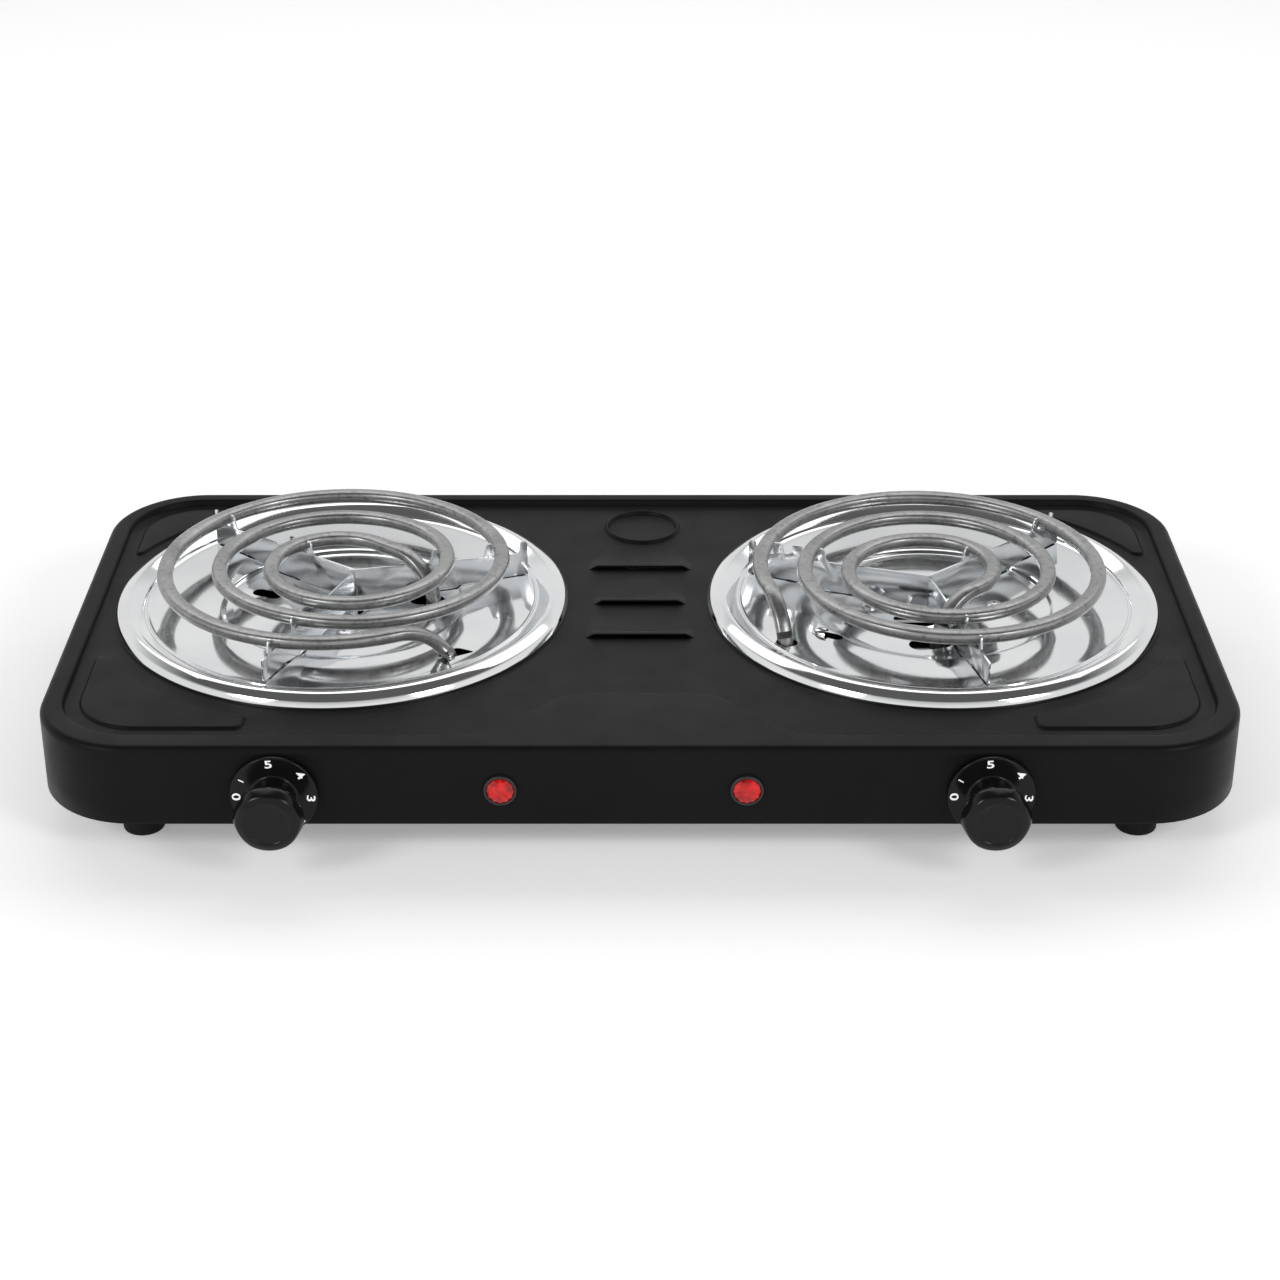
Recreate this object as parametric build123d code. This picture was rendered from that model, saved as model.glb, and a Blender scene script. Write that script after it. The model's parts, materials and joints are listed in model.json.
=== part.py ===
from build123d import *
import math
import os

# Double coil hot plate. Millimetres, +X right, +Y back, +Z up, standing on z = 0.
# The model is drawn about the middle of the housing's footprint and moved back by
# BODY_Y when written, so that the origin is the middle of the whole object's footprint.

# ---- driving dimensions ----------------------------------------------------------
WIDTH = 480.0
DEPTH = 240.0
TOP_Z = 50.0
SKIRT_Z = 15.5
CORNER_R = 40.0
SHEET = 0.8
TOP_EDGE_R = 3.0

FIELD_DROP = 3.0
FIELD_Z = TOP_Z - FIELD_DROP
FIELD_UNDER = FIELD_Z - SHEET
RIM_SIDE = 9.0
RIM_FRONT = 11.5
RIM_BACK = 8.5
PAD_RISE = 1.2
PAD_INSET = 6.0
PAD_ARC_R = 105.5
PAD_FRONT_Y = -40.0
PAD_BACK_Y = 58.5
PAD_INNER_X = 157.0

BURNER_X = {"left": -128.0, "right": 126.0}
BURNER_Y = 12.0
PAN_HOLE_R = 87.0
PAN_R = 97.2
PAN_SHEET = 0.5
PAN_FLOOR_Z = 45.0
PAN_CENTRE_HOLE_R = 9.0

COIL_CENTRE = {"left": (-131.0, 15.5), "right": (124.0, 13.5)}
COIL_START = {"left": -64.0, "right": -164.0}
COIL_RINGS = {"left": (72.3, 49.3, 27.0), "right": (72.3, 50.7, 27.5)}
COIL_STEPS = {"left": ((275.0, 150.0), (615.0, 230.0)), "right": ((186.0, 245.0), (570.0, 260.0))}
COIL_SWEEP = {"left": 964.0, "right": 966.0}
TUBE_R = 3.35
COIL_Z = 63.35
OUTER_BEND_R = 24.0
INNER_BEND_R = 20.0
INNER_RUN = {"left": 12.0, "right": 1.0}
LEG_BOTTOM_Z = 33.0
PIN_END_R = 1.2

ARM_ANGLES = {"left": (16.0, 138.5, 252.5), "right": (163.0, 42.0, 280.5)}
ARM_FORK = {"left": (-123.0, 18.0), "right": (124.0, 12.0)}
ARM_REACH = 82.0
ARM_SHEET = 0.8
TAB_TOP_Z = 66.0
TAB_WIDTH = 3.6
NOTCH_HALF = TUBE_R + 0.35

KNOB_X = {"left": -142.7, "right": 137.0}
KNOB_Z = 30.2
KNOB_PROUD = 25.0
SKIRT_DISC_R = 17.2
SPINDLE_R = 3.0
SPINDLE_CLEARANCE = 0.04

LAMP_X = {"left": -54.6, "right": 41.8}
LAMP_Z = 31.5
LENS_R = 5.4
BEZEL_R = 6.6

FOOT_X = 200.0
FOOT_Y = 95.5
FOOT_R = 8.9
BASE_Z = 16.0
BASE_TOP_Z = BASE_Z + SHEET
POST_R = 3.5

GLAND_Z = 30.0
GLAND_PROUD = 6.0
CORD_R = 3.5

FRONT_Y = -DEPTH / 2
REAR_Y = DEPTH / 2
BODY_Y = (KNOB_PROUD - GLAND_PROUD) / 2
SIDES = ("left", "right")


# ---- small helpers -----------------------------------------------------------------
def rod(radius, start, end):
    """A round bar between two points."""
    axis = Vector(*end) - Vector(*start)
    return Solid.make_cylinder(radius, axis.length, Plane(Vector(*start), z_dir=axis.normalized()))


def tube(outer, inner, start, end):
    """A round bar with a bore along its whole length."""
    return rod(outer, start, end) - rod(inner, start, end)


def slab(x0, x1, y0, y1, z0, z1):
    """A rectangular block between two corners."""
    return Pos((x0 + x1) / 2, (y0 + y1) / 2, (z0 + z1) / 2) * Box(x1 - x0, y1 - y0, z1 - z0)


def rise(sketch, z0, z1):
    """A flat outline pushed up from z0 to z1."""
    return extrude(Pos(0, 0, z0) * sketch, z1 - z0)


def polar(centre, radius, degrees):
    """The plan point at an angle and distance from a centre."""
    turn = math.radians(degrees)
    return (centre[0] + radius * math.cos(turn), centre[1] + radius * math.sin(turn))


def save(name, shape):
    """Write one named sub-part, moved to the object's origin."""
    export_step(Pos(0, BODY_Y, 0) * shape, f"parts/{name}.step")


def group(shapes):
    """Several separate solids kept together as one sub-part."""
    return Compound([solid for shape in shapes for solid in shape.solids()])


def edges_near(shape, z, tolerance=0.02):
    """The edges that lie flat at one height."""
    return [e for e in shape.edges() if abs(e.bounding_box().min.Z - z) < tolerance
            and abs(e.bounding_box().max.Z - z) < tolerance]


# ---- housing shell -------------------------------------------------------------------
def field_outline(grow=0.0):
    """The sunk field of the top: a rounded rectangle less the front bay's trapezoid."""
    y0 = FRONT_Y + RIM_FRONT
    y1 = REAR_Y - RIM_BACK
    half_x = WIDTH / 2 - RIM_SIDE + grow
    height = y1 - y0 + 2 * grow
    field = Pos(0, (y0 + y1) / 2) * RectangleRounded(2 * half_x, height, CORNER_R - RIM_SIDE + grow)
    bay_top = -74.4
    bay = Polygon((-62.6 - 6, y0 - 6), (62.6 + 6, y0 - 6), (62.6, y0 + 0.3), (30, bay_top),
                  (-30, bay_top), (-62.6, y0 + 0.3), align=None)
    bay = fillet(bay.vertices().sort_by(Axis.Y)[-2:], 8)
    if grow:
        bay = offset(bay, -grow)
    return field - bay


def pad_outlines(shrink=0.0):
    """The four raised corner pads, each hollowed round its burner."""
    half_x = WIDTH / 2 - RIM_SIDE - PAD_INSET - shrink
    y0 = FRONT_Y + RIM_FRONT + PAD_INSET + 2.4 + shrink
    y1 = REAR_Y - RIM_BACK - PAD_INSET - shrink
    inside = Pos(0, (y0 + y1) / 2) * RectangleRounded(2 * half_x, y1 - y0, 25 - shrink)
    pads = []
    for side in SIDES:
        sign = -1 if side == "left" else 1
        for low, high in ((y0 - 1, PAD_FRONT_Y - shrink), (PAD_BACK_Y + shrink, y1 + 1)):
            inner = PAD_INNER_X + shrink
            window = Pos(sign * (inner + 240) / 2, (low + high) / 2) * Rectangle(240 - inner, high - low)
            pads.append((inside & window) - Pos(BURNER_X[side], BURNER_Y) * Circle(PAD_ARC_R + shrink))
    return pads


def louvre(half_width, y):
    """One raised vent hood and the room under it, open to the front."""
    rise_z = 2.4
    hood = Polyline((y - 1.5, FIELD_UNDER), (y - 1.5, FIELD_Z + rise_z), (y + 0.5, FIELD_Z + rise_z),
                    (y + 5.5, FIELD_Z), (y + 5.5, FIELD_UNDER), close=True)
    room = Polyline((y - 2, FIELD_UNDER - 1), (y - 2, FIELD_Z + rise_z - SHEET),
                    (y + 0.3, FIELD_Z + rise_z - SHEET), (y + 4.2, FIELD_UNDER - 1), close=True)
    plane = Plane.YZ
    hood_solid = Pos(-half_width, 0, 0) * extrude(plane * make_face(hood), 2 * half_width)
    room_solid = Pos(-half_width + 1, 0, 0) * extrude(plane * make_face(room), 2 * half_width - 2)
    return hood_solid, room_solid


def housing_shell():
    outline = RectangleRounded(WIDTH, DEPTH, CORNER_R)
    skin = rise(outline, SKIRT_Z, TOP_Z)
    skin = fillet(edges_near(skin, TOP_Z), TOP_EDGE_R)
    skin -= rise(field_outline(), FIELD_Z, TOP_Z + 1)
    for pad in pad_outlines():
        block = rise(pad, FIELD_Z - 0.2, FIELD_Z + PAD_RISE)
        skin += fillet(edges_near(block, FIELD_Z + PAD_RISE), 0.5)

    inside = RectangleRounded(WIDTH - 2 * SHEET, DEPTH - 2 * SHEET, CORNER_R - SHEET)
    cavity = rise(inside, SKIRT_Z - 1, TOP_Z - SHEET)
    cavity = fillet(edges_near(cavity, TOP_Z - SHEET), TOP_EDGE_R - SHEET)
    drop = rise(field_outline(SHEET), FIELD_UNDER, TOP_Z + 1)
    for pad in pad_outlines(SHEET):
        drop -= rise(pad, FIELD_UNDER - 1, FIELD_UNDER + PAD_RISE)
    shell = skin - (cavity - drop)

    for half_width, y in ((20.5, 45.8), (17.5, 11.8), (20.8, -19.7)):
        hood, room = louvre(half_width, y)
        shell = shell + hood - room
    bead = Pos(1, 87, FIELD_Z - 0.2) * (Cylinder(17, 1.1, align=(Align.CENTER, Align.CENTER, Align.MIN))
                                        - Cylinder(14.6, 1.1, align=(Align.CENTER, Align.CENTER, Align.MIN)))
    shell += bead
    for side in SIDES:
        shell -= Pos(BURNER_X[side], BURNER_Y, FIELD_Z) * Cylinder(PAN_HOLE_R, 8)
        shell -= rod(5.1, (KNOB_X[side], FRONT_Y - 1, KNOB_Z), (KNOB_X[side], FRONT_Y + 2, KNOB_Z))
        shell -= rod(4.9, (LAMP_X[side], FRONT_Y - 1, LAMP_Z), (LAMP_X[side], FRONT_Y + 2, LAMP_Z))
    shell -= rod(6.0, (0, REAR_Y - 2, GLAND_Z), (0, REAR_Y + 1, GLAND_Z))
    return shell


# ---- base, posts, feet -----------------------------------------------------------------
def corners():
    return [(sx * FOOT_X, sy * FOOT_Y) for sy in (-1, 1) for sx in (-1, 1)]


def base_plate():
    """A shallow tray that closes the bottom, with cooling slots under both burners."""
    gap = SHEET + 0.6
    lip = 2.0
    tray = rise(RectangleRounded(WIDTH - 2 * gap, DEPTH - 2 * gap, CORNER_R - gap), BASE_Z, BASE_Z + lip)
    wall = gap + SHEET
    tray -= rise(RectangleRounded(WIDTH - 2 * wall, DEPTH - 2 * wall, CORNER_R - wall),
                 BASE_TOP_Z, BASE_Z + lip + 1)
    for side in SIDES:
        for row in range(-3, 4):
            length = 90.0 - 8 * abs(row)
            slot = Pos(BURNER_X[side], BURNER_Y + 14 * row) * SlotOverall(length, 4)
            tray -= rise(slot, BASE_Z - 1, BASE_TOP_Z + 1)
    for x, y in corners():
        tray -= rod(2.2, (x, y, BASE_Z - 1), (x, y, BASE_TOP_Z + 1))
    return tray


def corner_posts():
    """Tapped posts welded under the four pads."""
    return group([tube(POST_R, 2.0, (x, y, BASE_TOP_Z), (x, y, 32)) + rod(POST_R, (x, y, 32),
                 (x, y, FIELD_UNDER + PAD_RISE)) for x, y in corners()])


def foot(x, y):
    """A slightly tapered rubber foot with a counterbore for its screw."""
    body = Pos(x, y, 0) * Cone(FOOT_R - 0.5, FOOT_R, BASE_Z, align=(Align.CENTER, Align.CENTER, Align.MIN))
    body = fillet(edges_near(body, 0), 1.0)
    body -= rod(4.6, (x, y, -1), (x, y, 8))
    return body - rod(2.2, (x, y, 7), (x, y, BASE_Z + 1))


def foot_screws():
    return group([rod(4.0, (x, y, 5.6), (x, y, 8)) + rod(1.95, (x, y, 8), (x, y, 28)) for x, y in corners()])


# ---- drip pans -----------------------------------------------------------------------
def pan_profile():
    """The pan's upper surface from its rolled rim to the centre hole, as (radius, height)."""
    return [(PAN_R, FIELD_Z), (PAN_R - 0.2, FIELD_Z + 0.7), (PAN_R - 1.1, FIELD_Z + 1.0),
            (PAN_R - 1.3, FIELD_Z + 4.4), (PAN_R - 2.0, FIELD_Z + 5.6), (PAN_R - 3.3, FIELD_Z + 6.1),
            (PAN_R - 4.9, FIELD_Z + 5.8), (84.6, FIELD_Z + 3.7), (83.4, FIELD_Z + 2.9),
            (81.5, FIELD_Z + 2.6), (54.0, PAN_FLOOR_Z + 1.6), (51.0, PAN_FLOOR_Z + 0.2),
            (48.0, PAN_FLOOR_Z), (PAN_CENTRE_HOLE_R, PAN_FLOOR_Z)]


def pan_height(radius):
    """Height of the pan's upper surface at a radius inside the rim's crest."""
    inner = [p for p in pan_profile() if p[0] < PAN_R - 3]
    for (r0, z0), (r1, z1) in zip(inner, inner[1:]):
        if r1 <= radius <= r0:
            return z1 + (z0 - z1) * (radius - r1) / (r0 - r1)
    return PAN_FLOOR_Z


def thicken(points, sheet):
    """Close an open outline into a strip of even thickness on its inner, lower side."""
    back = []
    for i, (r, z) in enumerate(points):
        r0, z0 = points[max(i - 1, 0)]
        r1, z1 = points[min(i + 1, len(points) - 1)]
        dr, dz = r1 - r0, z1 - z0
        size = math.hypot(dr, dz)
        back.append((r - sheet * dz / size, z + sheet * dr / size))
    back[0] = (points[0][0] - sheet, points[0][1])
    return points + back[::-1]


def leg_holes(side):
    """Plan places where the coil's outer and inner legs pass the pan."""
    outer, inner = coil_ends(side)
    return [outer[-1], inner[-1]]


def drip_pan(side):
    centre = (BURNER_X[side], BURNER_Y)
    strip = Plane.XZ * Polyline(*thicken(pan_profile(), PAN_SHEET), close=True)
    pan = Pos(centre[0], centre[1], 0) * revolve(make_face(strip), Axis.Z)
    outer_hole, inner_hole = leg_holes(side)
    pan -= Pos(outer_hole[0], outer_hole[1], PAN_FLOOR_Z) * Cylinder(6.2, 12)
    pan -= Pos(inner_hole[0], inner_hole[1], PAN_FLOOR_Z) * Cylinder(5.4, 12)
    for angle in ARM_ANGLES[side]:
        for r0, r1 in ((33.0, 49.0), (59.0, 79.0)):
            start, end = arm_point(side, angle, r0), arm_point(side, angle, r1)
            middle = ((start[0] + end[0]) / 2, (start[1] + end[1]) / 2)
            turn = math.degrees(math.atan2(end[1] - start[1], end[0] - start[0]))
            length = math.dist(start, end)
            pan -= Pos(middle[0], middle[1], PAN_FLOOR_Z) * Rot(0, 0, turn) * Box(length, 2.4, 14)
    for x, y in pan_screw_places(side):
        pan -= rod(2.1, (x, y, PAN_FLOOR_Z - 3), (x, y, PAN_FLOOR_Z + 3))
    return pan


# ---- heating coils ---------------------------------------------------------------------
def coil_radius(side, swept):
    """Radius of the coil after turning clockwise by an angle: each ring steps in to the next."""
    rings = COIL_RINGS[side]
    radius = rings[0]
    for ring, next_ring, (begin, span) in zip(rings, rings[1:], COIL_STEPS[side]):
        part = min(max((swept - begin) / span, 0.0), 1.0)
        radius -= (ring - next_ring) * (1 - math.cos(math.pi * part)) / 2
    return radius


def coil_plan(side, swept):
    """Plan point of the coil's centreline after turning clockwise by an angle."""
    return polar(COIL_CENTRE[side], coil_radius(side, swept), COIL_START[side] - swept)


def coil_ends(side):
    """For each end: where it leaves the spiral, its heading, level run, bend and upright place."""
    ends = []
    for swept, step, run, bend in ((0.0, -1.0, 0.0, OUTER_BEND_R),
                                   (COIL_SWEEP[side], 1.0, INNER_RUN[side], INNER_BEND_R)):
        here = coil_plan(side, swept)
        there = coil_plan(side, swept + step)
        size = math.dist(here, there)
        heading = ((there[0] - here[0]) / size, (there[1] - here[1]) / size)
        reach = run + bend
        upright = (here[0] + reach * heading[0], here[1] + reach * heading[1])
        ends.append((here, heading, run, bend, upright))
    return ends


def leg_tube(end, radius):
    """A bar along one leg: level at first, round its bend, then straight down."""
    start, heading, run, bend, upright = end

    def along(distance, drop):
        return (start[0] + heading[0] * distance, start[1] + heading[1] * distance, COIL_Z - drop)

    middle = along(run + bend * math.sin(math.pi / 4), bend * (1 - math.cos(math.pi / 4)))
    path = [ThreePointArc(along(run, 0), middle, along(run + bend, bend)),
            Line(along(run + bend, bend), (upright[0], upright[1], LEG_BOTTOM_Z))]
    if run:
        path.insert(0, Line(along(0, 0), along(run, 0)))
    section = Plane(along(0, 0), z_dir=(heading[0], heading[1], 0)) * Circle(radius)
    return sweep(section, Wire(path))


def heating_coil(side):
    swept = COIL_SWEEP[side]
    steps = int(swept / 20)
    points = [coil_plan(side, swept * i / steps) + (COIL_Z,) for i in range(steps + 1)]
    outer, inner = coil_ends(side)
    first = (-outer[1][0], -outer[1][1], 0)
    section = Plane(points[0], x_dir=(first[1], -first[0], 0), z_dir=first) * Circle(TUBE_R)
    coil = sweep(section, Spline(*points))
    for end in (outer, inner):
        coil += leg_tube(end, TUBE_R)
    return coil


def leg_places():
    return [end[-1] for side in SIDES for end in coil_ends(side)]


def coil_end_seals():
    """Ceramic beads that close the sheath's lower ends."""
    return group([tube(3.6, PIN_END_R, (x, y, LEG_BOTTOM_Z - 4), (x, y, LEG_BOTTOM_Z))
                  for x, y in leg_places()])


def terminal_pins():
    """The pins that carry current into the coils."""
    return group([rod(PIN_END_R, (x, y, 20), (x, y, LEG_BOTTOM_Z)) for x, y in leg_places()])


# ---- coil supports ---------------------------------------------------------------------
def arm_point(side, angle, distance):
    """A point on an arm, at a distance from the burner's centre measured along the arm."""
    fork = ARM_FORK[side]
    tip = polar((BURNER_X[side], BURNER_Y), ARM_REACH, angle)
    part = distance / ARM_REACH
    return (fork[0] + (tip[0] - fork[0]) * part, fork[1] + (tip[1] - fork[1]) * part)


def arm_crossings(side, angle):
    """Distances along an arm at which the coil passes over it."""
    fork = ARM_FORK[side]
    tip = arm_point(side, angle, ARM_REACH)
    length = math.dist(fork, tip)
    ux, uy = (tip[0] - fork[0]) / length, (tip[1] - fork[1]) / length
    found = []
    before = None
    for swept in range(0, int(COIL_SWEEP[side]) + 1):
        x, y = coil_plan(side, swept)
        along = (x - fork[0]) * ux + (y - fork[1]) * uy
        across = (y - fork[1]) * ux - (x - fork[0]) * uy
        if before is not None and before * across <= 0 and along > 0:
            found.append(along)
        before = across
    return found


def support_arm(side, angle, start):
    """One strip on edge: notched seats for the turns, tabs beside them, feet through the pan."""
    fork = ARM_FORK[side]
    tip = arm_point(side, angle, ARM_REACH)
    length = math.dist(fork, tip)
    seat = COIL_Z - TUBE_R - 0.05
    centre = (BURNER_X[side], BURNER_Y)
    bottom = []
    for i in range(9):
        s = start + (length - start) * i / 8
        x, y = arm_point(side, angle, ARM_REACH * s / length)
        bottom.append((s, pan_height(math.dist((x, y), centre)) + 0.9))
    strip = make_face(Polyline(*bottom, (length, seat), (start, seat), close=True))
    tabs = [(length - TAB_WIDTH, length)]
    for cross in arm_crossings(side, angle):
        tabs.append((cross - NOTCH_HALF - TAB_WIDTH, cross - NOTCH_HALF))
        tabs.append((cross + NOTCH_HALF, cross + NOTCH_HALF + TAB_WIDTH))
    for low, high in tabs:
        low, high = max(low, start), min(high, length)
        if high - low > 1:
            tab = Pos((low + high) / 2, (seat - 2 + TAB_TOP_Z) / 2) * Rectangle(high - low, TAB_TOP_Z - seat + 2)
            strip += tab
    for cross in arm_crossings(side, angle):
        strip -= Pos(cross, COIL_Z + 0.5) * Rectangle(2 * NOTCH_HALF, 2 * TUBE_R + 1.05)
    for r0, r1 in ((36.0, 46.0), (64.0, 76.0)):
        low, high = r0 * length / ARM_REACH, r1 * length / ARM_REACH
        strip += Pos((low + high) / 2, pan_height((r0 + r1) / 2) - 0.5) * Rectangle(high - low, 5)
    turn = math.degrees(math.atan2(tip[1] - fork[1], tip[0] - fork[0]))
    upright = Plane(origin=(fork[0], fork[1], 0), x_dir=(1, 0, 0), z_dir=(0, -1, 0))
    blank = extrude(upright * strip, ARM_SHEET / 2, both=True)
    return Pos(fork[0], fork[1]) * Rot(0, 0, turn) * Pos(-fork[0], -fork[1]) * blank


def leg_room(side):
    """The room that the coil's inner leg needs where it dips past the arms."""
    return leg_tube(coil_ends(side)[1], NOTCH_HALF)


def coil_support(side):
    """One strip bent at the fork into two arms."""
    first, second, _ = ARM_ANGLES[side]
    fork = ARM_FORK[side]
    hub = rod(0.9, (fork[0], fork[1], PAN_FLOOR_Z + 2), (fork[0], fork[1], COIL_Z - TUBE_R - 0.05))
    return support_arm(side, first, 0) + support_arm(side, second, 0) + hub - leg_room(side)


def third_arm(side):
    """The separate arm, which butts against the fork."""
    return support_arm(side, ARM_ANGLES[side][2], 1.5) - leg_room(side)


# ---- pan straps --------------------------------------------------------------------------
STRAP_TURN = {"left": 96.0, "right": 0.0}
STRAP_SCREW_R = 27.0
STRAP_TOP_Z = PAN_FLOOR_Z - PAN_SHEET


def pan_screw_places(side):
    return [polar((BURNER_X[side], BURNER_Y), r, STRAP_TURN[side]) for r in (-STRAP_SCREW_R, STRAP_SCREW_R)]


def pan_strap(side):
    """A strap across the shell's opening that the pan is screwed down to."""
    half = PAN_HOLE_R + 6
    top = [(-half, FIELD_UNDER), (-PAN_HOLE_R + 1, FIELD_UNDER), (-55, STRAP_TOP_Z - 1.5),
           (-45, STRAP_TOP_Z), (45, STRAP_TOP_Z), (55, STRAP_TOP_Z - 1.5),
           (PAN_HOLE_R - 1, FIELD_UNDER), (half, FIELD_UNDER)]
    under = [(x, z - 1.2) for x, z in top]
    strip = Plane.XZ * make_face(Polyline(*top, *under[::-1], close=True))
    strap = extrude(strip, 6, both=True)
    strap = Pos(BURNER_X[side], BURNER_Y, 0) * Rot(0, 0, STRAP_TURN[side]) * strap
    for x, y in pan_screw_places(side):
        strap -= rod(1.75, (x, y, 30), (x, y, 50))
    return strap


def pan_screws():
    """Domed screws that hold the pans to their straps."""
    screws = []
    for side in SIDES:
        for x, y in pan_screw_places(side):
            head = rod(3.6, (x, y, PAN_FLOOR_Z), (x, y, PAN_FLOOR_Z + 1.6))
            head = fillet(edges_near(head, PAN_FLOOR_Z + 1.6), 1.2)
            screws.append(head + rod(1.7, (x, y, PAN_FLOOR_Z - 6), (x, y, PAN_FLOOR_Z)))
    return group(screws)


# ---- thermostats ---------------------------------------------------------------------------
PANEL_IN_Y = FRONT_Y + SHEET
BRACKET_SHEET = 1.2
BUSH_R = 5.0
PIN_R = 2.0
PIN_TRAVEL = 0.5
SPINDLE_END_Y = PANEL_IN_Y + 12
PIN_END_Y = SPINDLE_END_Y + 0.1 + 8
STACK_X = 9.0
STACK_Y = PIN_END_Y + 2.6


def thermostat_bracket(side):
    """A steel angle: its front face clamps behind the panel, its foot carries the contact stack."""
    x = KNOB_X[side]
    face = slab(x - 13, x + 13, PANEL_IN_Y, PANEL_IN_Y + BRACKET_SHEET, 18.5, 41)
    shelf = slab(x - 13, x + 13, PANEL_IN_Y, STACK_Y + 9, 18.5, 18.5 + BRACKET_SHEET)
    bracket = face + shelf
    bracket -= rod(BUSH_R + 0.1, (x, PANEL_IN_Y - 1, KNOB_Z), (x, PANEL_IN_Y + 4, KNOB_Z))
    bracket -= rod(1.55, (x + STACK_X, STACK_Y + 4, 15), (x + STACK_X, STACK_Y + 4, 25))
    return bracket


def thermostat_bushing(side):
    """The brass bushing that the spindle turns in, with its collar behind the bracket."""
    x = KNOB_X[side]
    y = PANEL_IN_Y + BRACKET_SHEET
    bush = rod(BUSH_R, (x, FRONT_Y - 2.6, KNOB_Z), (x, y, KNOB_Z))
    bush += rod(6.5, (x, y, KNOB_Z), (x, y + 4, KNOB_Z))
    return bush - rod(SPINDLE_R + SPINDLE_CLEARANCE, (x, FRONT_Y - 4, KNOB_Z), (x, y + 5, KNOB_Z))


def bushing_nuts():
    """Hexagon nuts that clamp the bushings to the front panel, under the knobs."""
    nuts = []
    for side in SIDES:
        plane = Plane(origin=(KNOB_X[side], FRONT_Y, KNOB_Z), z_dir=(0, -1, 0))
        nuts.append(extrude(plane * (RegularPolygon(7.6, 6) - Circle(BUSH_R)), 2.0))
    return group(nuts)


def spindle(side):
    """The control spindle: a D-shaped nose in the knob, a round journal in the bushing."""
    x = KNOB_X[side]
    shaft = rod(SPINDLE_R, (x, FRONT_Y - 15, KNOB_Z), (x, SPINDLE_END_Y, KNOB_Z))
    shaft -= slab(x - 5, x + 5, FRONT_Y - 16, FRONT_Y - 5, KNOB_Z + 1.6, KNOB_Z + 5)
    ring_y = PANEL_IN_Y + BRACKET_SHEET + 4.3
    return shaft + rod(4.2, (x, ring_y, KNOB_Z), (x, ring_y + 1.2, KNOB_Z))


def push_pin(side):
    """The ceramic pin that the spindle drives against the contact blade."""
    x = KNOB_X[side]
    return rod(PIN_R, (x, SPINDLE_END_Y + 0.1, KNOB_Z), (x, PIN_END_Y, KNOB_Z))


def contact_blade(side):
    """The spring blade behind the push pin, standing in the stack."""
    x = KNOB_X[side]
    y = PIN_END_Y + PIN_TRAVEL + 0.3
    return slab(x - 4, x + 12, y, y + 0.4, 24.4, KNOB_Z + 4) + rod(1.4, (x - 2, y + 0.4, 32), (x - 2, y + 1.2, 32))


def fixed_contact(side):
    """The fixed contact facing the blade."""
    x = KNOB_X[side]
    y = PIN_END_Y + PIN_TRAVEL + 2.6
    return slab(x - 4, x + 12, y, y + 0.8, 24.4, KNOB_Z + 4) + rod(1.4, (x - 2, y - 0.8, 32), (x - 2, y, 32))


def bimetal_strip(side):
    """The bimetal, which stands behind the fixed contact and bends as the burner warms."""
    x = KNOB_X[side]
    y = PIN_END_Y + PIN_TRAVEL + 5.0
    return slab(x - 8, x + 12, y, y + 0.9, 24.4, 40)


def stack_insulator(side):
    """The moulded ceramic block that the blades stand in."""
    x = KNOB_X[side]
    y0 = PIN_END_Y + PIN_TRAVEL - 0.8
    block = slab(x + 2, x + 12.5, y0, y0 + 9.2, 18.5 + BRACKET_SHEET, 24.4)
    return block - rod(1.55, (x + STACK_X, STACK_Y + 4, 15), (x + STACK_X, STACK_Y + 4, 25))


def stack_rivets():
    """Rivets that hold the insulators to the brackets."""
    rivets = []
    for side in SIDES:
        x, y = KNOB_X[side] + STACK_X, STACK_Y + 4
        rivets.append(rod(1.5, (x, y, 18.5), (x, y, 24.4)) + rod(2.6, (x, y, 17.4), (x, y, 18.5)))
    return group(rivets)


# ---- knobs ---------------------------------------------------------------------------------
KNOB_GAP = 1.2
FLUTES = 6


def knob(side):
    """A dial knob: thin numbered skirt, narrow neck and a fluted mushroom grip."""
    front = KNOB_PROUD
    disc = KNOB_GAP + 1.6
    outline = [(0, KNOB_GAP), (SKIRT_DISC_R, KNOB_GAP), (SKIRT_DISC_R, disc), (16.6, disc + 0.6),
               (9.2, disc + 1.2), (8.4, front - 16), (10.0, front - 12), (13.4, front - 8.8),
               (14.4, front - 6.0), (13.6, front - 2.8), (11.6, front - 0.8), (9.6, front),
               (0, front - 0.5)]
    body = revolve(Plane.XZ * make_face(Polyline(*outline, close=True)), Axis.Z)
    for i in range(FLUTES):
        x, y = polar((0, 0), 22.2, 60 * i + 30)
        body -= Pos(x, y, front - 7) * Cylinder(8.4, 14)
    skirt = Cylinder(SKIRT_DISC_R, 2.2, align=(Align.CENTER, Align.CENTER, Align.MIN))
    skirt = fillet(edges_near(skirt, 2.2), 0.6)
    body += Pos(0, 0, KNOB_GAP) * skirt
    body -= Pos(0, 0, KNOB_GAP - 0.1) * Cylinder(8.4, 2.9, align=(Align.CENTER, Align.CENTER, Align.MIN))
    body -= Pos(0, 0, KNOB_GAP) * Cylinder(SPINDLE_R, 14.2, align=(Align.CENTER, Align.CENTER, Align.MIN))
    body += Pos(0, 2.3, 5.0) * slab(-2.6, 2.6, -0.7, 0.9, 0, 10.4)
    body -= slab(-2.2, 2.2, 1.6, 2.2, 5.2, 15)
    return Pos(KNOB_X[side], FRONT_Y, KNOB_Z) * Rot(90, 0, 0) * body


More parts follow.
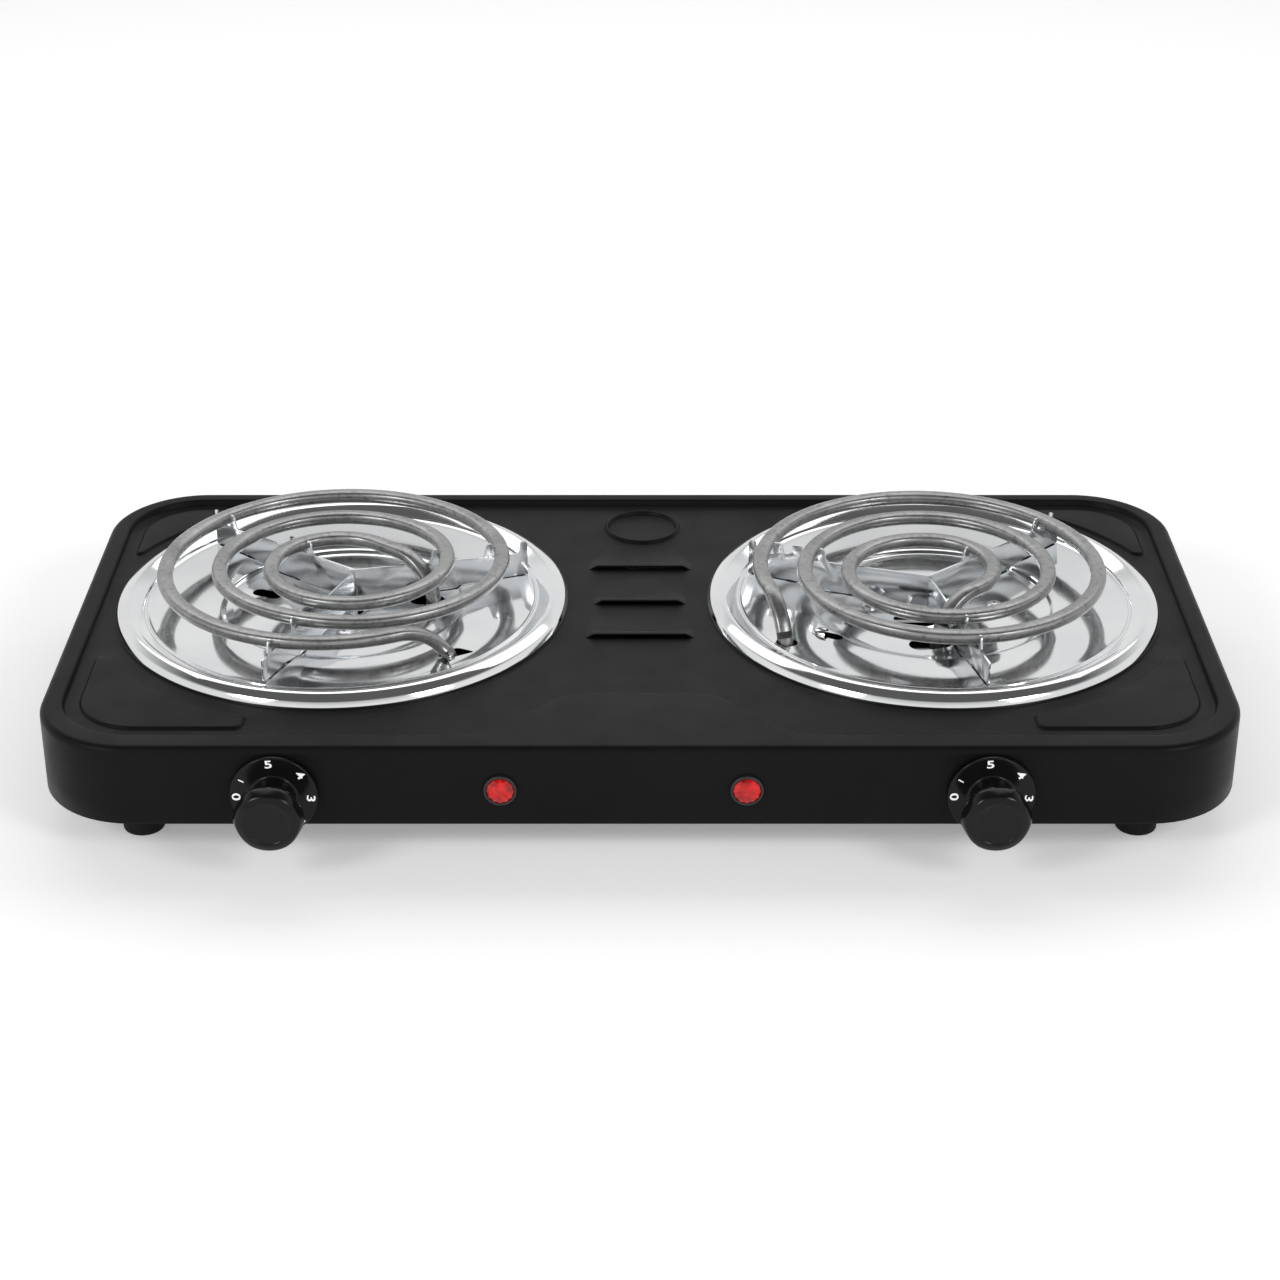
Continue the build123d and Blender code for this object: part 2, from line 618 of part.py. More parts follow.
def knob_clip(side):
    """The leaf spring that keeps the knob tight on the spindle's flat."""
    leaf = slab(-2.1, 2.1, 1.62, 2.15, 5.4, 14.6)
    return Pos(KNOB_X[side], FRONT_Y, KNOB_Z) * Rot(90, 0, 0) * leaf


# ---- pilot lamps -----------------------------------------------------------------------------
def pilot_lens(side):
    """A faceted jewel with a stem that reaches into its holder."""
    facets = 16
    seat, girdle_top, crown_top = 0.6, 1.8, 3.2
    girdle = RegularPolygon(LENS_R, facets)
    crown = Pos(0, 0, crown_top) * Rot(0, 0, 180 / facets) * RegularPolygon(3.2, facets)
    jewel = rise(girdle, seat, girdle_top) + loft([Pos(0, 0, girdle_top) * girdle, crown])
    jewel += Pos(0, 0, -6) * Cylinder(4.0, 6 + seat, align=(Align.CENTER, Align.CENTER, Align.MIN))
    return Pos(LAMP_X[side], FRONT_Y, LAMP_Z) * Rot(90, 0, 0) * jewel


def lamp_holder(side):
    """The dark holder: a bezel in front of the panel and a barrel behind it."""
    bezel = Cylinder(BEZEL_R, 1.4, align=(Align.CENTER, Align.CENTER, Align.MIN))
    bezel = fillet(edges_near(bezel, 1.4), 0.5)
    bezel -= Pos(0, 0, -1) * Cylinder(LENS_R + 0.02, 4, align=(Align.CENTER, Align.CENTER, Align.MIN))
    barrel = Cylinder(4.8, 24, align=(Align.CENTER, Align.CENTER, Align.MAX))
    barrel -= Pos(0, 0, -22) * Cylinder(4.02, 23, align=(Align.CENTER, Align.CENTER, Align.MIN))
    ring = Cylinder(BEZEL_R - 0.2, 0.6, align=(Align.CENTER, Align.CENTER, Align.MIN))
    ring -= Cylinder(4.02, 2, align=(Align.CENTER, Align.CENTER, Align.CENTER))
    holder = bezel + ring + barrel
    return Pos(LAMP_X[side], FRONT_Y, LAMP_Z) * Rot(90, 0, 0) * holder


def neon_bulb(side):
    """The neon indicator inside its holder."""
    x = LAMP_X[side]
    return rod(2.6, (x, FRONT_Y + 8, LAMP_Z), (x, FRONT_Y + 20, LAMP_Z))


def lamp_retainers():
    """Spring washers that grip the barrels behind the panel."""
    return group([tube(7.0, 4.8, (LAMP_X[s], PANEL_IN_Y, LAMP_Z), (LAMP_X[s], PANEL_IN_Y + 0.8, LAMP_Z))
                  for s in SIDES])


# ---- mains side ------------------------------------------------------------------------------
BLOCK_Y = 92.0
BLOCK_TOP = 29.0
WAYS = (-14.0, 0.0, 14.0)


def terminal_block():
    """A three-way porcelain terminal block on the base plate."""
    block = slab(-22, 22, BLOCK_Y - 8, BLOCK_Y + 8, BASE_TOP_Z, BLOCK_TOP)
    for x in WAYS:
        block -= rod(2.0, (x, BLOCK_Y - 9, 24), (x, BLOCK_Y + 9, 24))
        block -= rod(1.6, (x, BLOCK_Y, 24), (x, BLOCK_Y, BLOCK_TOP + 1))
    return block


def terminal_screws():
    return group([rod(1.5, (x, BLOCK_Y, 25.4), (x, BLOCK_Y, BLOCK_TOP + 1.5)) for x in WAYS])


def earth_tag():
    """The earth tag under its screw on the base plate."""
    tag = slab(36, 56, 88, 96, BASE_TOP_Z, BASE_TOP_Z + 0.8)
    return tag - rod(2.05, (50, 92, 10), (50, 92, 20))


def earth_screw():
    return rod(3.5, (50, 92, BASE_TOP_Z + 0.8), (50, 92, BASE_TOP_Z + 3.2)) + rod(
        2.0, (50, 92, BASE_TOP_Z), (50, 92, BASE_TOP_Z + 0.8))


def cord_grommet():
    """The rubber gland in the rear wall, open for the mains cord."""
    outer = rod(8.5, (0, REAR_Y, GLAND_Z), (0, REAR_Y + GLAND_PROUD, GLAND_Z))
    outer += rod(6.0, (0, REAR_Y - SHEET, GLAND_Z), (0, REAR_Y, GLAND_Z))
    outer += rod(8.0, (0, REAR_Y - 4, GLAND_Z), (0, REAR_Y - SHEET, GLAND_Z))
    return outer - rod(CORD_R, (0, REAR_Y - 6, GLAND_Z), (0, REAR_Y + 8, GLAND_Z))


# ---- leads -----------------------------------------------------------------------------------
LEAD_R = 1.3
LEAD_Z = 24.0


def lead(points, bend):
    """An insulated lead along straight runs joined by tangent arcs."""
    path = FilletPolyline(*points, radius=bend)
    first, second = Vector(*points[0]), Vector(*points[1])
    section = Plane(points[0], z_dir=(second - first).normalized()) * Circle(LEAD_R)
    return sweep(section, path)


def supply_lead(side):
    """From the terminal block's live way to the thermostat's fixed contact."""
    sign = -1 if side == "left" else 1
    way = sign * WAYS[2]
    end_x = KNOB_X[side] + 12
    y = PIN_END_Y + PIN_TRAVEL + 3.0
    return lead([(way, BLOCK_Y - 8, LEAD_Z), (way, 20, LEAD_Z), (way + sign * 12, -60, LEAD_Z + 2),
                 (end_x + 30 if sign < 0 else end_x + 26, y + 12, LEAD_Z + 4),
                 (end_x + 12, y, LEAD_Z + 4), (end_x, y, LEAD_Z + 4)], 8)


def output_leads():
    """From each thermostat's blade to its coil's outer pin."""
    y, z = PIN_END_Y + PIN_TRAVEL + 0.5, 32.4
    left_x, right_x = KNOB_X["left"] + 12, KNOB_X["right"] + 12
    left_pin, right_pin = (coil_ends(side)[0][-1] for side in SIDES)
    low_z = 22.0
    left = lead([(left_x, y, z), (left_x + 19, y, z), (left_pin[0] - 6, left_pin[1] - 27, 30),
                 (left_pin[0], left_pin[1] - 13, low_z), (left_pin[0], left_pin[1] - PIN_END_R, low_z)], 4)
    right = lead([(right_x, y, z), (right_x + 11, y, z), (right_x + 11, y + 20, z),
                  (right_pin[0], right_pin[1] - 20, low_z + 2),
                  (right_pin[0], right_pin[1] - PIN_END_R, low_z)], 4)
    return group([left, right])


def return_leads():
    """From each coil's inner pin back to the terminal block's middle way."""
    leads = []
    for side, sign in (("left", -1), ("right", 1)):
        x, y = coil_ends(side)[1][-1]
        leads.append(lead([(x - sign * PIN_END_R, y, 22), (x - sign * 18, y, 21), (sign * 40, 58, 20),
                           (sign * 1.4, 68, 20), (sign * 1.4, BLOCK_Y - 8, LEAD_Z)], 4))
    return group(leads)


def parts():
    made = {
        "housing_shell": housing_shell(),
        "base_plate": base_plate(),
        "corner_posts": corner_posts(),
        "foot_screws": foot_screws(),
        "coil_end_seals": coil_end_seals(),
        "terminal_pins": terminal_pins(),
        "pan_screws": pan_screws(),
        "bushing_nuts": bushing_nuts(),
        "stack_rivets": stack_rivets(),
        "lamp_retainers": lamp_retainers(),
        "terminal_block": terminal_block(),
        "terminal_screws": terminal_screws(),
        "earth_tag": earth_tag(),
        "earth_screw": earth_screw(),
        "cord_grommet": cord_grommet(),
        "output_leads": output_leads(),
        "return_leads": return_leads(),
    }
    for (x, y), place in zip(corners(), ("front_left", "front_right", "rear_left", "rear_right")):
        made[f"foot_{place}"] = foot(x, y)
    for side in SIDES:
        made[f"drip_pan_{side}"] = drip_pan(side)
        made[f"heating_coil_{side}"] = heating_coil(side)
        made[f"coil_support_{side}"] = coil_support(side)
        made[f"support_arm_{side}"] = third_arm(side)
        made[f"pan_strap_{side}"] = pan_strap(side)
        made[f"thermostat_bracket_{side}"] = thermostat_bracket(side)
        made[f"thermostat_bushing_{side}"] = thermostat_bushing(side)
        made[f"spindle_{side}"] = spindle(side)
        made[f"push_pin_{side}"] = push_pin(side)
        made[f"contact_blade_{side}"] = contact_blade(side)
        made[f"fixed_contact_{side}"] = fixed_contact(side)
        made[f"bimetal_strip_{side}"] = bimetal_strip(side)
        made[f"stack_insulator_{side}"] = stack_insulator(side)
        made[f"knob_{side}"] = knob(side)
        made[f"knob_clip_{side}"] = knob_clip(side)
        made[f"pilot_lens_{side}"] = pilot_lens(side)
        made[f"lamp_holder_{side}"] = lamp_holder(side)
        made[f"neon_bulb_{side}"] = neon_bulb(side)
        made[f"supply_lead_{side}"] = supply_lead(side)
    return made


os.makedirs("parts", exist_ok=True)
for name, shape in parts().items():
    save(name, shape)
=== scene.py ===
import json
import math

import bmesh
import bpy
from mathutils import Matrix, Vector


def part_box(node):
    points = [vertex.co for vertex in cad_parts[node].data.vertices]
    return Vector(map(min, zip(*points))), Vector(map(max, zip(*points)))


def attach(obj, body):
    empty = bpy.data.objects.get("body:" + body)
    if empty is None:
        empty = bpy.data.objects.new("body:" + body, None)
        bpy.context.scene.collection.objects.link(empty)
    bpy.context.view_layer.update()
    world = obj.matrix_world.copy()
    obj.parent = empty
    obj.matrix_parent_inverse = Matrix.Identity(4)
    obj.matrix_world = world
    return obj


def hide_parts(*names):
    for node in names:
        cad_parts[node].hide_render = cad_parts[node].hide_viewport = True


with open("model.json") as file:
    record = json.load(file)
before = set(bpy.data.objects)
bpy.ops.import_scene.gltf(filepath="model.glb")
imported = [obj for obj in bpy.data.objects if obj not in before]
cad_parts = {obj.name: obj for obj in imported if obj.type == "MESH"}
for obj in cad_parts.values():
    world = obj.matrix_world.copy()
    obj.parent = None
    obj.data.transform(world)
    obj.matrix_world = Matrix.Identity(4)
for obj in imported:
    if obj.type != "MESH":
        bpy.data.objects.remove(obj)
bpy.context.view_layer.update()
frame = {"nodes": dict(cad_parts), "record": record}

# ---- shared dimensions -------------------------------------------------------------
# Shapes are drawn in millimetres about the middle of the housing's footprint, as the
# CAD source draws them, and moved into the frame as each mesh is made.
MM = 0.001
SHELL_LOW, SHELL_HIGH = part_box("housing_shell")
SHIFT_Y = (SHELL_LOW.y + SHELL_HIGH.y) / 2
HALF_X = (SHELL_HIGH.x - SHELL_LOW.x) / 2 / MM
HALF_Y = (SHELL_HIGH.y - SHELL_LOW.y) / 2 / MM
TOP_Z = SHELL_HIGH.z / MM
SKIRT_Z = SHELL_LOW.z / MM
FRONT_Y = -HALF_Y
CORNER_R = 40.0
FIELD_Z = TOP_Z - 3.0
PAD_Z = FIELD_Z + 1.2
SIDES = ("left", "right")

BURNER = {"left": (-128.0, 12.0), "right": (126.0, 12.0)}
PAN_HOLE_R = 88.0
PAN_FLOOR_Z = 45.0
COIL_CENTRE = {"left": (-131.0, 15.5), "right": (124.0, 13.5)}
COIL_START = {"left": -64.0, "right": -164.0}
COIL_RINGS = {"left": (72.3, 49.3, 27.0), "right": (72.3, 50.7, 27.5)}
COIL_STEPS = {"left": ((275.0, 150.0), (615.0, 230.0)), "right": ((186.0, 245.0), (570.0, 260.0))}
COIL_SWEEP = {"left": 964.0, "right": 966.0}
TUBE_R = 3.35
COIL_Z = 63.35
OUTER_BEND_R = 24.0
INNER_BEND_R = 20.0
INNER_RUN = {"left": 12.0, "right": 1.0}
LEG_BOTTOM_Z = 33.0

ARM_ANGLES = {"left": (16.0, 138.5, 252.5), "right": (163.0, 42.0, 280.5)}
ARM_FORK = {"left": (-123.0, 18.0), "right": (124.0, 12.0)}
ARM_REACH = 82.0
ARM_SHEET = 0.8
SEAT_Z = COIL_Z - TUBE_R - 0.05
TAB_TOP_Z = 66.0
NOTCH_HALF = TUBE_R + 0.35

KNOB_X = {"left": -142.7, "right": 137.0}
KNOB_Z = 30.2
KNOB_GAP = 1.2
LAMP_X = {"left": -54.6, "right": 41.8}
LAMP_Z = 31.5
STRAP_TURN = {"left": 96.0, "right": 0.0}
STRAP_SCREW_R = 27.0
LANCE = ((75.2, -18.9), (82.6, -21.6))
GLAND_Z = 30.0

# The stage, in metres: a floor, one wide light above the back, two small ones in front.
FLOOR_REACH = 6.0
OVERHEAD_AT = (0.0, 1.05, 1.4)
OVERHEAD_SIZE = (2.4, 0.9)
OVERHEAD_WATTS = 11
FRONT_LIGHTS = {"front_left": (-1.3, -1.2, 1.2), "front_right": (1.3, -1.2, 1.2)}
FRONT_SIZE = (0.6, 0.6)
FRONT_WATTS = 10
SKY_TONES = ((0.46, 0.92), (0.78, 0.12))
CAMERA_AT = (0, -1.0111, 0.5653)
CAMERA_TILT = 62.54
LENS_MM = 75.3
SENSOR_MM = 36


# ---- materials ---------------------------------------------------------------------
class Paint:
    """A node material with its Principled shader and short ways to add detail."""

    def __init__(self, name, base, metallic=0.0, roughness=0.5, **sockets):
        self.material = bpy.data.materials.new(name)
        self.material.use_nodes = True
        self.tree = self.material.node_tree
        self.shader = self.tree.nodes["Principled BSDF"]
        self.shader.inputs["Base Color"].default_value = (*base, 1)
        self.shader.inputs["Metallic"].default_value = metallic
        self.shader.inputs["Roughness"].default_value = roughness
        for key, value in sockets.items():
            self.shader.inputs[key.replace("_", " ")].default_value = value
        self.material.diffuse_color = (*base, 1)
        self.coords = self.tree.nodes.new("ShaderNodeTexCoord").outputs["Object"]

    def link(self, out, socket):
        self.tree.links.new(out, socket)

    def noise(self, scale, detail=3.0, rough=0.5, stretch=None):
        node = self.tree.nodes.new("ShaderNodeTexNoise")
        node.inputs["Scale"].default_value = scale
        node.inputs["Detail"].default_value = detail
        node.inputs["Roughness"].default_value = rough
        source = self.coords
        if stretch:
            mapping = self.tree.nodes.new("ShaderNodeMapping")
            mapping.inputs["Scale"].default_value = stretch
            self.link(source, mapping.inputs["Vector"])
            source = mapping.outputs["Vector"]
        self.link(source, node.inputs["Vector"])
        return node.outputs["Fac"]

    def cells(self, scale, output="Color", feature="F1"):
        node = self.tree.nodes.new("ShaderNodeTexVoronoi")
        node.feature = feature
        node.inputs["Scale"].default_value = scale
        self.link(self.coords, node.inputs["Vector"])
        return node.outputs[output]

    def ramp(self, source, stops):
        node = self.tree.nodes.new("ShaderNodeValToRGB")
        for i, (place, value) in enumerate(stops):
            if i < 2:
                stop = node.color_ramp.elements[i]
                stop.position = place
            else:
                stop = node.color_ramp.elements.new(place)
            rgb = value if isinstance(value, tuple) else (value,) * 3
            stop.color = (*rgb, 1)
        self.link(source, node.inputs["Fac"])
        return node.outputs["Color"]

    def multiply(self, a, b, factor=1.0):
        node = self.tree.nodes.new("ShaderNodeMix")
        node.data_type = "RGBA"
        node.blend_type = "MULTIPLY"
        node.inputs[0].default_value = factor
        self.link(a, node.inputs[6])
        self.link(b, node.inputs[7])
        return node.outputs[2]

    def bump(self, source, distance, strength=1.0):
        node = self.tree.nodes.new("ShaderNodeBump")
        node.inputs["Distance"].default_value = distance
        node.inputs["Strength"].default_value = strength
        self.link(source, node.inputs["Height"])
        old = self.shader.inputs["Normal"].links
        if old:
            self.link(old[0].from_socket, node.inputs["Normal"])
        self.link(node.outputs["Normal"], self.shader.inputs["Normal"])

    def colour(self, source):
        self.link(source, self.shader.inputs["Base Color"])

    def roughness(self, source, low, high):
        self.link(self.ramp(source, [(0.3, low), (0.7, high)]), self.shader.inputs["Roughness"])


def housing_paint():
    paint = Paint("housing_paint", (0.0055, 0.0055, 0.0057), roughness=0.42, Specular_IOR_Level=0.09)
    blotch = paint.noise(22, 4)
    paint.colour(paint.ramp(blotch, [(0.3, (0.0046, 0.0046, 0.0048)), (0.7, (0.0064, 0.0064, 0.0066))]))
    paint.roughness(paint.noise(60, 3), 0.36, 0.46)
    paint.bump(paint.noise(1600, 2), 0.00003, 0.35)
    paint.bump(paint.noise(45, 2), 0.00025, 0.12)
    return paint.material


def base_paint():
    paint = Paint("base_paint", (0.02, 0.02, 0.021), roughness=0.6)
    paint.roughness(paint.noise(80, 3), 0.52, 0.68)
    paint.bump(paint.noise(1300, 2), 0.00004, 0.5)
    return paint.material


def chrome():
    paint = Paint("pan_chrome", (0.83, 0.84, 0.85), metallic=1.0, roughness=0.05)
    paint.roughness(paint.noise(40, 4), 0.05, 0.11)
    paint.colour(paint.ramp(paint.noise(30, 5), [(0.35, (0.76, 0.77, 0.78)), (0.65, (0.83, 0.835, 0.84))]))
    paint.bump(paint.noise(26, 1), 0.0006, 0.10)
    paint.bump(paint.noise(900, 2), 0.00001, 0.15)
    return paint.material


def coil_sheath():
    paint = Paint("coil_sheath", (0.32, 0.32, 0.325), metallic=0.85, roughness=0.42)
    soft = paint.ramp(paint.noise(55, 5, 0.6), [(0.32, 0.25), (0.68, 0.36)])
    specks = paint.ramp(paint.noise(380, 4, 0.65), [(0.32, 0.6), (0.48, 1.0)])
    paint.colour(paint.multiply(soft, specks))
    paint.roughness(paint.noise(120, 4), 0.25, 0.38)
    paint.bump(paint.noise(700, 3), 0.00005, 0.25)
    paint.bump(paint.noise(90, 2), 0.0003, 0.15)
    return paint.material


def galvanised():
    paint = Paint("support_steel", (0.72, 0.745, 0.76), metallic=1.0, roughness=0.2)
    spangle = paint.ramp(paint.cells(120), [(0.1, (0.715, 0.74, 0.755)), (0.9, (0.76, 0.785, 0.80))])
    cloud = paint.ramp(paint.noise(40, 2), [(0.3, 0.92), (0.7, 1.0)])
    paint.colour(paint.multiply(spangle, cloud))
    paint.roughness(paint.noise(90, 2), 0.16, 0.24)
    paint.bump(paint.noise(30, 1), 0.0006, 0.1)
    return paint.material


def zinc_plate():
    paint = Paint("zinc_steel", (0.62, 0.63, 0.65), metallic=1.0, roughness=0.3)
    paint.colour(paint.ramp(paint.noise(120, 4), [(0.3, (0.55, 0.56, 0.58)), (0.7, (0.68, 0.69, 0.71))]))
    paint.roughness(paint.noise(200, 3), 0.22, 0.4)
    paint.bump(paint.noise(900, 2), 0.00002, 0.3)
    return paint.material


def turned_steel():
    paint = Paint("spindle_steel", (0.45, 0.45, 0.46), metallic=1.0, roughness=0.3)
    paint.roughness(paint.noise(300, 2), 0.22, 0.36)
    paint.bump(paint.noise(600, 2, stretch=(1, 8, 1)), 0.00002, 0.3)
    return paint.material


def brass():
    paint = Paint("brass", (0.66, 0.5, 0.22), metallic=1.0, roughness=0.28)
    paint.colour(paint.ramp(paint.noise(150, 3), [(0.3, (0.60, 0.44, 0.18)), (0.7, (0.70, 0.54, 0.26))]))
    paint.roughness(paint.noise(240, 3), 0.2, 0.38)
    return paint.material


def knob_plastic():
    paint = Paint("knob_plastic", (0.006, 0.006, 0.0065), roughness=0.16, Specular_IOR_Level=0.2)
    paint.roughness(paint.noise(90, 4), 0.12, 0.22)
    paint.bump(paint.noise(70, 2), 0.0002, 0.08)
    return paint.material


def dull_moulding(name, tone=0.012, low=0.42, high=0.58):
    paint = Paint(name, (tone, tone, tone), roughness=(low + high) / 2)
    paint.roughness(paint.noise(150, 3), low, high)
    paint.bump(paint.noise(1100, 2), 0.00003, 0.4)
    return paint.material


def rubber(name):
    paint = Paint(name, (0.008, 0.008, 0.008), roughness=0.75, Specular_IOR_Level=0.2)
    paint.colour(paint.ramp(paint.noise(90, 4), [(0.3, 0.006), (0.7, 0.011)]))
    paint.roughness(paint.noise(200, 3), 0.65, 0.85)
    paint.bump(paint.noise(1500, 2), 0.00005, 0.5)
    return paint.material


def jewel_red():
    paint = Paint("lens_red", (0.5, 0.0, 0.0), roughness=0.07, Specular_IOR_Level=0.5,
                  Emission_Strength=0.12)
    paint.shader.inputs["Emission Color"].default_value = (0.9, 0.0, 0.0, 1)
    paint.colour(paint.ramp(paint.noise(260, 2), [(0.35, (0.16, 0.0, 0.0)), (0.65, (0.62, 0.001, 0.001))]))
    return paint.material


def glowing_print_white():
    # Painted light: the white print glows faintly through a small emission, though it is no lamp; its tone
    # varies at random.
    paint = Paint("dial_print_glowing", (0.9, 0.9, 0.9), roughness=0.5, Emission_Strength=0.25)
    paint.shader.inputs["Emission Color"].default_value = (1, 1, 1, 1)
    paint.colour(paint.ramp(paint.noise(500, 3), [(0.3, 0.84), (0.7, 0.94)]))
    return paint.material


def ceramic():
    paint = Paint("ceramic", (0.4, 0.37, 0.32), roughness=0.65)
    paint.colour(paint.ramp(paint.noise(120, 4), [(0.3, (0.34, 0.31, 0.26)), (0.7, (0.44, 0.41, 0.36))]))
    paint.bump(paint.noise(900, 3), 0.00004, 0.5)
    return paint.material


def neon_glass():
    paint = Paint("neon_glass", (0.9, 0.8, 0.75), roughness=0.05, Alpha=0.4)
    paint.roughness(paint.noise(200, 2), 0.04, 0.1)
    return paint.material


def woven_sleeve():
    paint = Paint("lead_sleeve", (0.06, 0.06, 0.058), roughness=0.8)
    braid = [(0.0, (0.075, 0.072, 0.068)), (1.0, (0.03, 0.03, 0.028))]
    paint.colour(paint.ramp(paint.cells(900, "Distance"), braid))
    paint.bump(paint.cells(900, "Distance"), 0.0001, 0.6)
    return paint.material


MATERIALS = {
    "housing_paint": housing_paint(),
    "base_steel": base_paint(),
    "zinc_steel": zinc_plate(),
    "foot_rubber": rubber("foot_rubber"),
    "grommet_rubber": rubber("grommet_rubber"),
    "pan_chrome": chrome(),
    "coil_sheath": coil_sheath(),
    "support_steel": galvanised(),
    "knob_plastic": knob_plastic(),
    "brass": brass(),
    "spindle_steel": turned_steel(),
    "ceramic": ceramic(),
    "lens_red": jewel_red(),
    "holder_black": dull_moulding("holder_black"),
    "neon_glass": neon_glass(),
    "lead_sleeve": woven_sleeve(),
}


def paint_cad_nodes():
    """Every CAD node takes the material of its slot; the pieces below then replace some."""
    for part in frame["record"]["subparts"]:
        node = frame["nodes"][part["node"]]
        node.data.materials.clear()
        node.data.materials.append(MATERIALS[part["material_slot"]])


# ---- mesh helpers --------------------------------------------------------------------
def place(point):
    """Body millimetres to frame metres."""
    return Vector((point[0] * MM, point[1] * MM + SHIFT_Y, point[2] * MM))


def finish_mesh(name, build, slot, body, nodes=(), smooth_angle=40, material=None):
    """Turn a bmesh in body millimetres into a riding piece with its finish."""
    bmesh.ops.remove_doubles(build, verts=build.verts, dist=0.001)
    bmesh.ops.dissolve_degenerate(build, dist=0.0005, edges=build.edges)
    bmesh.ops.recalc_face_normals(build, faces=build.faces)
    for vert in build.verts:
        vert.co = place(vert.co)
    mesh = bpy.data.meshes.new(name)
    build.to_mesh(mesh)
    build.free()
    piece = bpy.data.objects.new(name, mesh)
    bpy.context.scene.collection.objects.link(piece)
    shade(piece, smooth_angle)
    mesh.materials.append(material or MATERIALS[slot])
    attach(piece, body)
    if nodes:
        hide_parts(*nodes)
    return piece


def shade(piece, angle):
    mesh = piece.data
    mesh.shade_smooth()
    mesh.set_sharp_from_angle(angle=math.radians(angle))


def apply_modifiers(piece, angle=40):
    """Bake the piece's modifiers into its mesh."""
    bpy.context.view_layer.update()
    graph = bpy.context.evaluated_depsgraph_get()
    old = piece.data
    mesh = bpy.data.meshes.new_from_object(piece.evaluated_get(graph))
    piece.modifiers.clear()
    piece.data = mesh
    bpy.data.meshes.remove(old)
    shade(piece, angle)


def thicken(piece, sheet, angle=40):
    """Give an open skin, seen from above, its sheet's thickness on the underside."""
    if sum(face.normal.z * face.area for face in piece.data.polygons) < 0:
        piece.data.flip_normals()
    solid = piece.modifiers.new("sheet", "SOLIDIFY")
    solid.thickness = sheet * MM
    solid.offset = -1
    apply_modifiers(piece, angle)


def loop_verts(build, points):
    return [build.verts.new(p) for p in points]


def bridge(build, first, second, closed=True):
    count = len(first)
    for i in range(count if closed else count - 1):
        j = (i + 1) % count
        build.faces.new((first[i], first[j], second[j], second[i]))


def rounded(corners, closed=True, step=5.0):
    """A polyline through corners (x, y, radius) with each corner turned by an arc."""
    count = len(corners)
    path = []
    for i, (x, y, radius) in enumerate(corners):
        if radius == 0 or (not closed and i in (0, count - 1)):
            path.append((x, y))
            continue
        here = Vector((x, y))
        before = (Vector(corners[i - 1][:2]) - here).normalized()
        after = (Vector(corners[(i + 1) % count][:2]) - here).normalized()
        half = before.angle(after) / 2
        centre = here + (before + after).normalized() * (radius / math.sin(half))
        start = here + before * (radius / math.tan(half)) - centre
        turn = math.pi - 2 * half
        side = 1 if before.cross(after) < 0 else -1
        steps = max(2, int(math.degrees(turn) / step))
        for k in range(steps + 1):
            spin = Matrix.Rotation(side * turn * k / steps, 2)
            path.append(tuple(centre + spin @ start))
    return path


def resampled(loop, spacing, sigma=0.0):
    """A closed loop with even spacing, its corners eased by a moving average."""
    points = [Vector(p) for p in loop]
    lengths = [(points[(i + 1) % len(points)] - p).length for i, p in enumerate(points)]
    total = sum(lengths)
    count = int(total / spacing)
    out = []
    i, walked = 0, 0.0
    for k in range(count):
        target = total * k / count
        while walked + lengths[i] < target:
            walked += lengths[i]
            i += 1
        part = (target - walked) / lengths[i] if lengths[i] else 0
        out.append(points[i].lerp(points[(i + 1) % len(points)], part))
    reach = int(3 * sigma / spacing)
    if reach:
        weights = [math.exp(-0.5 * (k * spacing / sigma) ** 2) for k in range(-reach, reach + 1)]
        scale = sum(weights)
        out = [sum((out[(i + k - reach) % count] * w for k, w in enumerate(weights)), Vector((0, 0))) / scale
               for i in range(count)]
    return [tuple(p) for p in out]


def offset(loop, distance):
    """A closed anticlockwise loop grown outward by a distance."""
    count = len(loop)
    out = []
    for i, (x, y) in enumerate(loop):
        before = Vector(loop[i - 1])
        after = Vector(loop[(i + 1) % count])
        way = (after - before).normalized()
        out.append((x + way.y * distance, y - way.x * distance))
    return out


def circle(centre, radius, count):
    return [(centre[0] + radius * math.cos(math.tau * i / count),
             centre[1] + radius * math.sin(math.tau * i / count)) for i in range(count)]


def fill(build, loops):
    """Flat faces between an outer ring of vertices and the rings of its holes."""
    edges = []
    for ring in loops:
        for first, second in zip(ring, ring[1:] + ring[:1]):
            edges.append(build.edges.get((first, second)) or build.edges.new((first, second)))
    bmesh.ops.triangle_fill(build, use_beauty=True, use_dissolve=False, edges=edges, normal=(0, 0, 1))


def polar(centre, radius, degrees):
    turn = math.radians(degrees)
    return (centre[0] + radius * math.cos(turn), centre[1] + radius * math.sin(turn))


def turned(build, profile, segments, centre=(0, 0), axis="z", wobble=None):
    """A surface turned from (radius, height) points about an upright or a front-facing axis."""
    rings = []
    for radius, height in profile:
        ring = []
        for i in range(segments):
            turn = math.tau * i / segments
            r = radius * (wobble(turn, height) if wobble else 1.0)
            x, y = r * math.cos(turn), r * math.sin(turn)
            if axis == "z":
                ring.append(build.verts.new((centre[0] + x, centre[1] + y, height)))
            else:
                ring.append(build.verts.new((centre[0] + x, FRONT_Y - height, centre[1] + y)))
        rings.append(ring)
    for first, second in zip(rings, rings[1:]):
        bridge(build, first, second)
    return rings


def split_long(path, pitch):
    """The same path, with its long stretches cut into steps of about the pitch."""
    dense = [path[0]]
    for before, after in zip(path, path[1:]):
        steps = max(1, int(math.dist(before, after) / pitch))
        across, up = after[0] - before[0], after[1] - before[1]
        for k in range(1, steps + 1):
            dense.append((before[0] + across * k / steps, before[1] + up * k / steps))
    return dense


